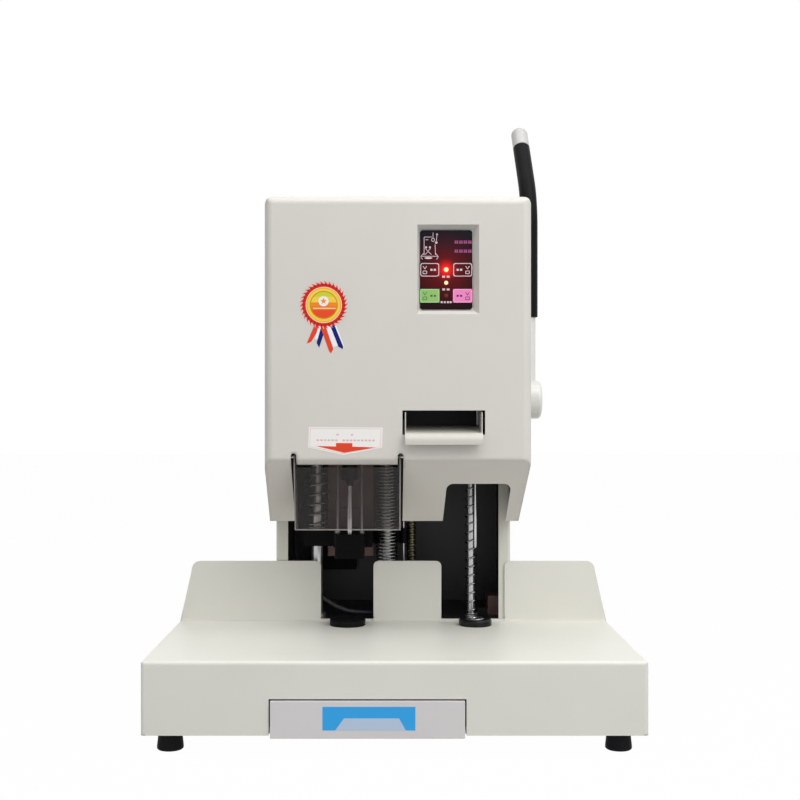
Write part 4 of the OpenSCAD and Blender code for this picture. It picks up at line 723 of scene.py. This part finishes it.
# Rectangle about the middle with round corners: a quarter circle about each corner's centre
def roundedBox(halfX, halfZ, radius, count=6):
    turn = (np.linspace(0, np.pi / 2, count + 1) + np.pi / 2 * np.arange(4)[:, None]).ravel()
    x = np.repeat([1, -1, -1, 1], count + 1) * (halfX - radius) + radius * np.cos(turn)
    z = np.repeat([1, 1, -1, -1], count + 1) * (halfZ - radius) + radius * np.sin(turn)
    return np.stack([x, z], axis=1)


# Thin straight bar between two points
def stroke(x0, z0, x1, z1, width):
    a, b = np.array([x0, z0], float), np.array([x1, z1], float)
    way = (b - a) / np.linalg.norm(b - a)
    side = np.array([-way[1], way[0]]) * width / 2
    return np.stack([a - side, b - side, b + side, a + side])


# Four-cornered pieces along a closed outline: its own points outside, and inside the same
# points drawn in towards their middle by a width
def outline(points, width):
    points = np.asarray(points, float)
    centre = points.mean(axis=0)
    spread = np.abs(points - centre).max(axis=0)
    inner = centre + (points - centre) * (1 - width / spread)
    return list(np.stack([points, np.roll(points, -1, axis=0), np.roll(inner, -1, axis=0), inner],
                         axis=1))


# Fronts that the prints lie on, and how far a print's back is let in, in mm
headFace, drawerFace, filmFace, filmSunk = -70.0, -168.0, -65.2, 0.01


# Stack of flat prints facing the front; layer 0 has thickness base, each next one stands
# lift above it. A layer is (ink, list of outlines) in mm, placed round centre and turned
def printFilm(name, layers, face, body, base=0.08, lift=0.02, centre=(0, 0), turn=0.0):
    points, faces, chosen = [], [], []
    used = list(dict.fromkeys(ink for ink, outlines in layers))
    c, s = math.cos(math.radians(turn)), math.sin(math.radians(turn))
    for depth, (ink, outlines) in enumerate(layers):
        front = face - base - lift * depth
        for shape in outlines:
            x, z = np.asarray(shape, float).T
            if np.sum(x * np.roll(z, -1) - np.roll(x, -1) * z) < 0:
                x, z = x[::-1], z[::-1]
            start = sum(map(len, points))
            points += [np.stack([centre[0] + x * c - z * s, np.full(len(x), y),
                                 centre[1] + x * s + z * c], axis=1)
                       for y in (front, face + filmSunk)]
            faces += [[index + start for index in ring] for ring in ringFaces(2, len(x))]
            chosen += [used.index(ink)] * (len(x) + 2)
    obj = meshObject(name, np.concatenate(points) * mm, faces, materials[used[0]], smooth=False)
    for ink in used[1:]:
        obj.data.materials.append(materials[ink])
    obj.data.polygons.foreach_set("material_index", chosen)
    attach(obj, body)


# Award sticker, in mm from its middle: pleated rim, rings, and a star with long and short arms
award = {"centre": (-60.4, 362.2), "lift": 0.012, "teeth": 34, "foot": 17.4, "redTip": 20.9,
         "paleTip": 21.3, "ring": 18.3, "pleatTip": 15.9, "disc": 11.2, "star": (-0.2, 3.2),
         "starArms": (3.0, 1.275)}


# One triangle for each tooth of the rim: its corners have the given radii, and the given
# angles past the tooth's own
def pleats(radii, ahead):
    turn = (2 * np.pi * np.arange(award["teeth"]) / award["teeth"])[:, None] + np.array(ahead)
    return list(np.stack([radii * np.cos(turn), radii * np.sin(turn)], axis=-1))


# Part of the middle disc that lies between two heights
def discPart(low, high):
    points = circle(0, 0, award["disc"], 64)
    return points[(points[:, 1] > low) & (points[:, 1] < high)]


# Pleated red rim, gold rings, sunset disc with a plain star, and ribbon tails below
def makeRosette():
    foot, ring, disc = award["foot"], award["ring"], award["disc"]
    tails = [
        ("ribbon_red", [[(-8, -17), (-2, -17), (-10.8, -31.8), (-14.8, -33.4)]]),
        ("ribbon_white", [[(-4.5, -18), (1, -19), (-4.2, -31), (-7.6, -29)]]),
        ("ribbon_blue", [[(-2.6, -20), (1.0, -22), (-0.8, -27), (-4, -36.9), (-6.2, -32.6)]]),
        ("ribbon_white", [[(1, -18), (6, -17.5), (12.4, -35), (8.2, -36.4)]]),
        ("ribbon_red", [[(-3.2, -18), (1.6, -18), (8.2, -38), (6.2, -41.8), (4.6, -40)]]),
        ("ribbon_white", [[(8.4, -17), (10.6, -17), (17.8, -36.5), (16.6, -37)]]),
        ("ribbon_blue", [[(5.6, -18), (9.2, -17.4), (16.8, -36), (16.4, -38), (12.6, -36)]]),
    ]
    rim = [("foil_pale", pleats((foot, foot, award["paleTip"]), (0.10, 0.22, 0.30))),
           ("foil_red", pleats((foot, foot, award["redTip"]), (0.0, 0.19, 0.26)))]
    turn = np.pi / 2 + np.pi * np.arange(10) / 5
    arms = np.tile(award["starArms"], 5)
    star = np.stack([award["star"][0] + arms * np.cos(turn),
                     award["star"][1] + arms * np.sin(turn)], axis=1)
    rings = [
        ("foil_red", [circle(0, 0, 18.4, 72)]),
        ("foil_dark_red", pleats((ring, ring, award["pleatTip"]), (0.0, 0.07, -0.10))),
        ("foil_cream", [circle(0, 0, 15.6, 64)]),
        ("foil_orange", [circle(0, 0, 14.9, 64)]),
        ("foil_yellow", [circle(0, 0, 14.4, 64)]),
        ("foil_gold", [circle(0, 0, 12.0, 64)]),
        ("foil_orange", [circle(0, 0, 11.4, 64)]),
        ("foil_yellow", [discPart(1.2, disc + 1)]),
        ("foil_lime", [discPart(6.6, disc + 1)]),
        ("foil_amber", [discPart(-disc - 1, -0.4)]),
        ("foil_sunset", [discPart(-disc - 1, -4.2)]),
        ("foil_cream", [stroke(-9.2, -2.9, 10.2, -2.9, 0.8)]),
        ("sticker_white", [circle(*award["star"], 4.4, 40)]),
        ("foil_orange", [star]),
    ]
    printFilm("award_sticker", tails + rim + rings, headFace, "machine",
              centre=award["centre"], lift=award["lift"])


# Arrow sticker below the award, in mm and degrees
marker = {"centre": (-43.2, 246.2), "turn": -0.4, "border": 0.35, "dashX": (-6.5, 6.0),
          "dashZ": 4.2, "dash": (2.2, 1.2), "rowX": -23.5, "rowZ": -0.6, "rowStep": 3.2,
          "rowCount": 16, "rowGap": 6, "rowDash": (2.2, 1.3)}


# White pentagon with a red arrow that points at the drill; its rows are plain dashes
def makeMarker():
    shape = [(-30.2, 10.6), (-30.6, -7.0), (0, -13.2), (33.0, -6.6), (33.6, 10.6)]
    inner = [(-29.0, 9.6), (-29.4, -6.4), (0, -12.2), (31.8, -6.0), (32.3, 9.6)]
    (long, wide), (rowLong, rowWide), rowZ = marker["dash"], marker["rowDash"], marker["rowZ"]
    dashes = [stroke(x, marker["dashZ"], x + long, marker["dashZ"], wide)
              for x in marker["dashX"]]
    row = marker["rowX"] + marker["rowStep"] * np.arange(marker["rowCount"])
    dashes += [stroke(x, rowZ, x + rowLong, rowZ, rowWide)
               for x in np.delete(row, marker["rowGap"])]
    arrow = [(-6.6, -3.0), (7.5, -3.0), (7.5, -6.0), (27.6, -6.6), (0.4, -11.4), (-24.2, -5.6),
             (-6.6, -6.0)]
    layers = [("sticker_white", [shape]), ("sticker_pink", outline(inner, marker["border"])),
              ("sticker_pink", dashes), ("sticker_red", [arrow])]
    printFilm("arrow_sticker", layers, headFace, "machine",
              centre=marker["centre"], turn=marker["turn"])


drawerLabel = {"centre": (-20.2, 29.9), "halfX": 36.5, "halfZ": 9.3}


# Blank blue label on the drawer front, with a pale patch that narrows upwards
def makeDrawerLabel():
    x, z = drawerLabel["halfX"], drawerLabel["halfZ"]
    layers = [("label_blue", [[(-x, -z), (x, -z), (x, z), (-x, z)]]),
              ("label_pale", [[(-26.5, -z), (29.0, -z), (23.6, 0.2), (-19.5, 0.2)]])]
    printFilm("drawer_label", layers, drawerFace, "drawer",
              centre=drawerLabel["centre"])


makeRosette()
makeMarker()
makeDrawerLabel()


# Lit lamp: a pale hot middle that turns to its own colour towards the rim
def lampMaterial(name, colour, rim, strength):
    material, tree = startMaterial(name)
    facing = addNode(tree, "ShaderNodeLayerWeight", {"Blend": 0.35})
    ramp = addNode(tree, "ShaderNodeValToRGB", links={"Fac": facing.outputs["Facing"]})
    ramp.color_ramp.elements[0].color = linear(colour)
    ramp.color_ramp.elements[1].color = linear(rim)
    light = addNode(tree, "ShaderNodeEmission", {"Strength": strength},
                    {"Color": ramp.outputs["Color"]})
    finishMaterial(tree, light)
    return material


materials["lamp_red"] = lampMaterial("lamp_red", "#FFF0B0", "#FF2A18", 1.15)
materials["lamp_yellow"] = lampMaterial("lamp_yellow", "#FFF6C0", "#E8A83C", 1.05)


# Key panel in mm: its lamps with their lenses, its keys, and its prints
panel = {"x": 45.3, "lampZ": (393.2, 381.8, 370.5), "lensRadius": (2.1, 1.8, 1.8),
         "lensHeight": 0.7, "lensSunk": 0.02, "keyX": (31.05, 59.55), "keyZ": (393.0, 370.5),
         "printMiddle": (45.1, 392.6), "line": 0.5, "rowZ": (24.4, 16.6), "rowStep": 3.9,
         "iconX": 4.2, "iconHalf": 1.6, "iconLine": 0.6, "wordX": 2.9}


# Low round lens on the key panel: half an ellipse turned about its axis
def dome(name, z, radius):
    rings, sides = 7, 24
    rise = (np.pi / 2 * np.linspace(0, 0.97, rings))[:, None]
    turn = (2 * np.pi * np.arange(sides) / sides)[None, :]
    y = filmFace + panel["lensSunk"] - panel["lensHeight"] * np.sin(rise)
    points = np.stack([panel["x"] + radius * np.cos(rise) * np.cos(turn), y + 0 * turn,
                       z + radius * np.cos(rise) * np.sin(turn)], axis=-1)
    obj = meshObject(name + "_lens", points.reshape(-1, 3) * mm, ringFaces(rings, sides),
                     materials[name])
    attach(obj, "machine")


for lampName, lampZ, lensRadius in zip(("lamp_red", "lamp_yellow", "lamp_off"), panel["lampZ"],
                                       panel["lensRadius"]):
    dome(lampName, lampZ, lensRadius)


# Bars along the given points, one after the other
def line(*ends):
    return [stroke(*a, *b, panel["line"]) for a, b in zip(ends, ends[1:])]


# Line drawing of a riveter, two rows of bars, and dashes for the lamps' captions
def makePanelPrints():
    drawing = (line((-18.9, 13.2), (-18.9, 28.8), (-12.2, 28.8))
               + line((-9.4, 22.4), (-9.1, 13.2)) + line((-21.0, 12.1), (-7.2, 12.1))
               + line((-19.3, 14.6), (-21.9, 11.8), (-20.3, 9.4))
               + line((-8.9, 14.6), (-6.6, 11.8), (-8.2, 9.4))
               + line((-17.6, 26.4), (-15.4, 26.4)) + line((-11.2, 27.8), (-11.2, 32.6))
               + line((-7.8, 31.0), (-8.4, 24.2))
               + line((-17.8, 19.0), (-15.6, 16.4), (-17.9, 13.6))
               + line((-13.4, 19.0), (-15.6, 16.4), (-12.6, 13.6)))
    solid = [circle(-15.1, 10.6, 3.4, 24, 0.9), circle(-7.8, 31.0, 0.9, 16),
             circle(-8.4, 24.0, 1.1, 16), circle(-17.2, 19.9, 0.9, 12),
             circle(-13.9, 19.9, 0.9, 12)]
    handle = outline(circle(-11.2, 26.3, 1.6, 20), 0.5)
    places = [(panel["rowStep"] * i, z) for z in panel["rowZ"] for i in range(4)]
    dashes = [stroke(7.5 + x, z, 10.5 + x, z, 2.6) for x, z in places]
    notches = [shape for x, z in places
               for shape in (stroke(9.0 + x, z - 1.4, 9.0 + x, z + 1.4, 0.4),
                             stroke(7.4 + x, z + 0.3, 10.6 + x, z + 0.3, 0.35))]
    small = [stroke(x, z, x + 2.4, z, 1.7) for z in (-5.6, -16.6) for x in (-3.2, 0.7)]
    small += [stroke(x, -27.6, x + 1.7, -27.6, 1.7) for x in (-4.6, -1.9, 0.8, 3.2)]
    layers = [("print_white", drawing + solid + handle), ("print_pink", dashes),
              ("print_white", small), ("lamp_off", notches)]
    printFilm("panel_print", layers, filmFace, "machine", base=0.03, lift=0.004,
              centre=panel["printMiddle"])


# Each key: a round-cornered face or only its rim, an arrow over a small box, and two dashes
def makeKeyPrints():
    keys = [("key_up", 0, 0, "print_white", None, "print_white"),
            ("key_down", 1, 0, "print_white", None, "print_white"),
            ("key_start", 0, 1, "key_green_edge", "key_green_face", "print_green"),
            ("key_stop", 1, 1, "key_pink_edge", "key_pink_face", "print_purple")]
    for body, column, row, edge, face, mark in keys:
        box = roundedBox(8.2, 5.8, 1.9)
        side = -1 if column == 0 else 1
        middle, half = panel["iconX"] * side, panel["iconHalf"]
        low, high, word = middle - half, middle + half, -panel["wordX"] * side
        bars = [(low, 3.2, middle, 0.6), (high, 3.2, middle, 0.6), (low, -3.4, high, -3.4),
                (low, -1.0, high, -1.0), (low, -1.0, low, -3.4), (high, -1.0, high, -3.4)]
        icon = [stroke(*bar, panel["iconLine"]) for bar in bars]
        words = [stroke(word + x, 0, word + x + 2.0, 0, 1.8) for x in (-2.4, 0.5)]
        layers = [(edge, outline(box, 0.7))]
        if face:
            layers = [(edge, [box]), (face, [roundedBox(7.5, 5.1, 1.3)])]
        layers.append((mark, icon + words))
        printFilm(body + "_print", layers, filmFace, body, base=0.03, lift=0.01,
                  centre=(panel["keyX"][column], panel["keyZ"][row]))


makePanelPrints()
makeKeyPrints()
print("labels, prints and lamps made")


# Lead screw of the drill feed, in mm: plain ends, and a right-hand thread between them
feedScrew = {"place": (17.5, 62.0), "low": 75.5, "high": 417.0, "radius": 4.75, "depth": 1.0,
             "pitch": 5.0, "threadLow": 88.0, "threadHigh": 381.0, "runOut": 4.0,
             "rows": 12, "sides": 32}


# Radius at a height and angle: the full radius, less a groove whose depth follows a flat-topped
# wave of one pitch, shifted along by the angle and let in gently at the thread's two ends
def makeFeedScrew():
    size = feedScrew
    count = int((size["threadHigh"] - size["threadLow"]) / size["pitch"] * size["rows"])
    threaded = np.linspace(size["threadLow"], size["threadHigh"], count)
    height = np.concatenate([[size["low"]], threaded, [size["high"]]])[:, None]
    turn = (2 * np.pi * np.arange(size["sides"]) / size["sides"])[None, :]
    phase = (height / size["pitch"] - turn / (2 * np.pi)) % 1.0
    groove = np.clip((np.abs(2 * phase - 1) - 0.35) / 0.3, 0, 1)
    inside = np.minimum(height - size["threadLow"], size["threadHigh"] - height)
    radius = size["radius"] - size["depth"] * groove * np.clip(inside / size["runOut"], 0, 1)
    points = np.stack([size["place"][0] + radius * np.cos(turn),
                       size["place"][1] + radius * np.sin(turn), height + 0 * turn], axis=-1)
    obj = meshObject("feed_thread", points.reshape(-1, 3) * mm,
                     ringFaces(count + 2, size["sides"]), materials["oiled_screw"])
    obj.modifiers.new("shade", "NODES").node_group = smoothGroup
    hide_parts("feed_screw")
    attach(obj, "screw")


# Pan-head screws of the covers, in mm: where each head stands and the way that it faces
coverScrews = {"radius": 3.4, "height": 2.1, "crossArm": 2.0, "crossHalf": 0.45, "sides": 48,
               "heads": [(-112, 82, 236, -1, 0, 0), (-112, 82, 338, -1, 0, 0),
                         (-112, 82, 440, -1, 0, 0), (119, 82, 240, 1, 0, 0),
                         (119, 82, 338, 1, 0, 0), (119, 82, 440, 1, 0, 0),
                         (-100, 155, 440, 0, 1, 0), (107, 155, 440, 0, 1, 0),
                         (-100, 155, 190, 0, 1, 0), (107, 155, 190, 0, 1, 0),
                         (-99, 150, 86, 0, 1, 0), (99, 150, 86, 0, 1, 0),
                         (-99, 150, 158, 0, 1, 0), (99, 150, 158, 0, 1, 0),
                         (-186, -70, 16, 0, 0, -1), (186, -70, 16, 0, 0, -1),
                         (-186, 70, 16, 0, 0, -1), (186, 70, 16, 0, 0, -1),
                         (-90, 156, 16, 0, 0, -1), (90, 156, 16, 0, 0, -1)]}


# Each head is a stack of rings: round ones up the dome, then the outline of a cross at the
# top and at the recess's floor. The cross's radius is the greater of its two bars' radii
def makeCoverScrews():
    size = coverScrews
    heads = np.array(size["heads"], float)
    turn = 2 * np.pi * np.arange(size["sides"]) / size["sides"]
    across, along = np.abs(np.cos(turn)) + 1e-9, np.abs(np.sin(turn)) + 1e-9
    cross = np.maximum(np.minimum(size["crossArm"] / across, size["crossHalf"] / along),
                       np.minimum(size["crossArm"] / along, size["crossHalf"] / across))
    rounds = np.array([1.0, 1.0, 0.95, 0.84, 0.66])[:, None] * size["radius"]
    radii = np.concatenate([rounds + 0 * turn, [cross, 0.8 * cross]])
    rise = np.array([-0.05, 0.35, 0.7, 0.92, 1.0, 1.0, 0.3])[:, None] * size["height"]
    facing = heads[:, 3:]
    first = np.cross(facing, (0.36, 0.48, 0.8))
    first /= np.linalg.norm(first, axis=1)[:, None]
    second = np.cross(facing, first)
    spin = 0.7 * np.arange(len(heads))[:, None, None]
    u = (radii * np.cos(turn + spin))[..., None]
    v = (radii * np.sin(turn + spin))[..., None]
    points = (heads[:, None, None, :3] + u * first[:, None, None] + v * second[:, None, None]
              + rise[None, ..., None] * facing[:, None, None])
    perHead = len(radii) * size["sides"]
    faces = [[index + perHead * k for index in face] for k in range(len(heads))
             for face in ringFaces(len(radii), size["sides"])]
    obj = meshObject("cover_screws", points.reshape(-1, 3) * mm, faces, materials["zinc_steel"])
    obj.modifiers.new("shade", "NODES").node_group = smoothGroup
    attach(obj, "machine")


# Chute that brings the tube ends down to the tray, in mm
chute = {"x": (11.5, 74.5), "y": (-29.6, -19.0), "z": (249.0, 292.0), "thick": 0.8}


# Quarter ellipse in y and z with a thin wall behind it, carried straight along x
def makeChute():
    t = np.linspace(0, np.pi / 2, 14)
    y = chute["y"][0] + (chute["y"][1] - chute["y"][0]) * np.sin(t)
    z = chute["z"][0] + (chute["z"][1] - chute["z"][0]) * (1 - np.cos(t))
    behind = np.stack([y + chute["thick"], z - 0.4 * chute["thick"]], axis=1)
    section = np.concatenate([np.stack([y, z], axis=1), behind[::-1]])
    points = np.concatenate([np.insert(section, 0, x, axis=1) for x in chute["x"][::-1]])
    obj = meshObject("tube_chute", points * mm, ringFaces(2, len(section)),
                     materials["chute_abs"])
    obj.modifiers.new("shade", "NODES").node_group = smoothGroup
    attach(obj, "machine")


# Bright sleeves round the three flat pins of the mains inlet, in mm
inletPins = {"places": [(-75, 121.5), (-69, 117.5), (-63, 121.5)], "half": (1.05, 2.05),
             "y": (132.5, 145.2, 146.1), "share": (1.0, 1.0, 0.75), "corner": 0.3}


# Rectangle with cut corners carried along y, and narrowed at the tip by its share
def makeInletPins():
    halfX, halfZ = inletPins["half"]
    c = inletPins["corner"]
    section = np.array([(halfX - c, -halfZ), (halfX, c - halfZ), (halfX, halfZ - c),
                        (halfX - c, halfZ), (c - halfX, halfZ), (-halfX, halfZ - c),
                        (-halfX, c - halfZ), (c - halfX, -halfZ)])[::-1]
    y = np.array(inletPins["y"])[None, :, None]
    share = np.array(inletPins["share"])[None, :, None]
    place = np.array(inletPins["places"])[:, None, None]
    x = place[..., 0] + share * section[:, 0]
    z = place[..., 1] + share * section[:, 1]
    points = np.stack([x, y + 0 * x, z], axis=-1)
    rings, sides = points.shape[1:3]
    faces = [[index + rings * sides * k for index in face] for k in range(len(points))
             for face in ringFaces(rings, sides)]
    obj = meshObject("inlet_pins", points.reshape(-1, 3) * mm, faces, materials["zinc_steel"],
                     smooth=False)
    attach(obj, "machine")


makeFeedScrew()
makeCoverScrews()
makeChute()
makeInletPins()
print("thread, screws, chute and pins made")
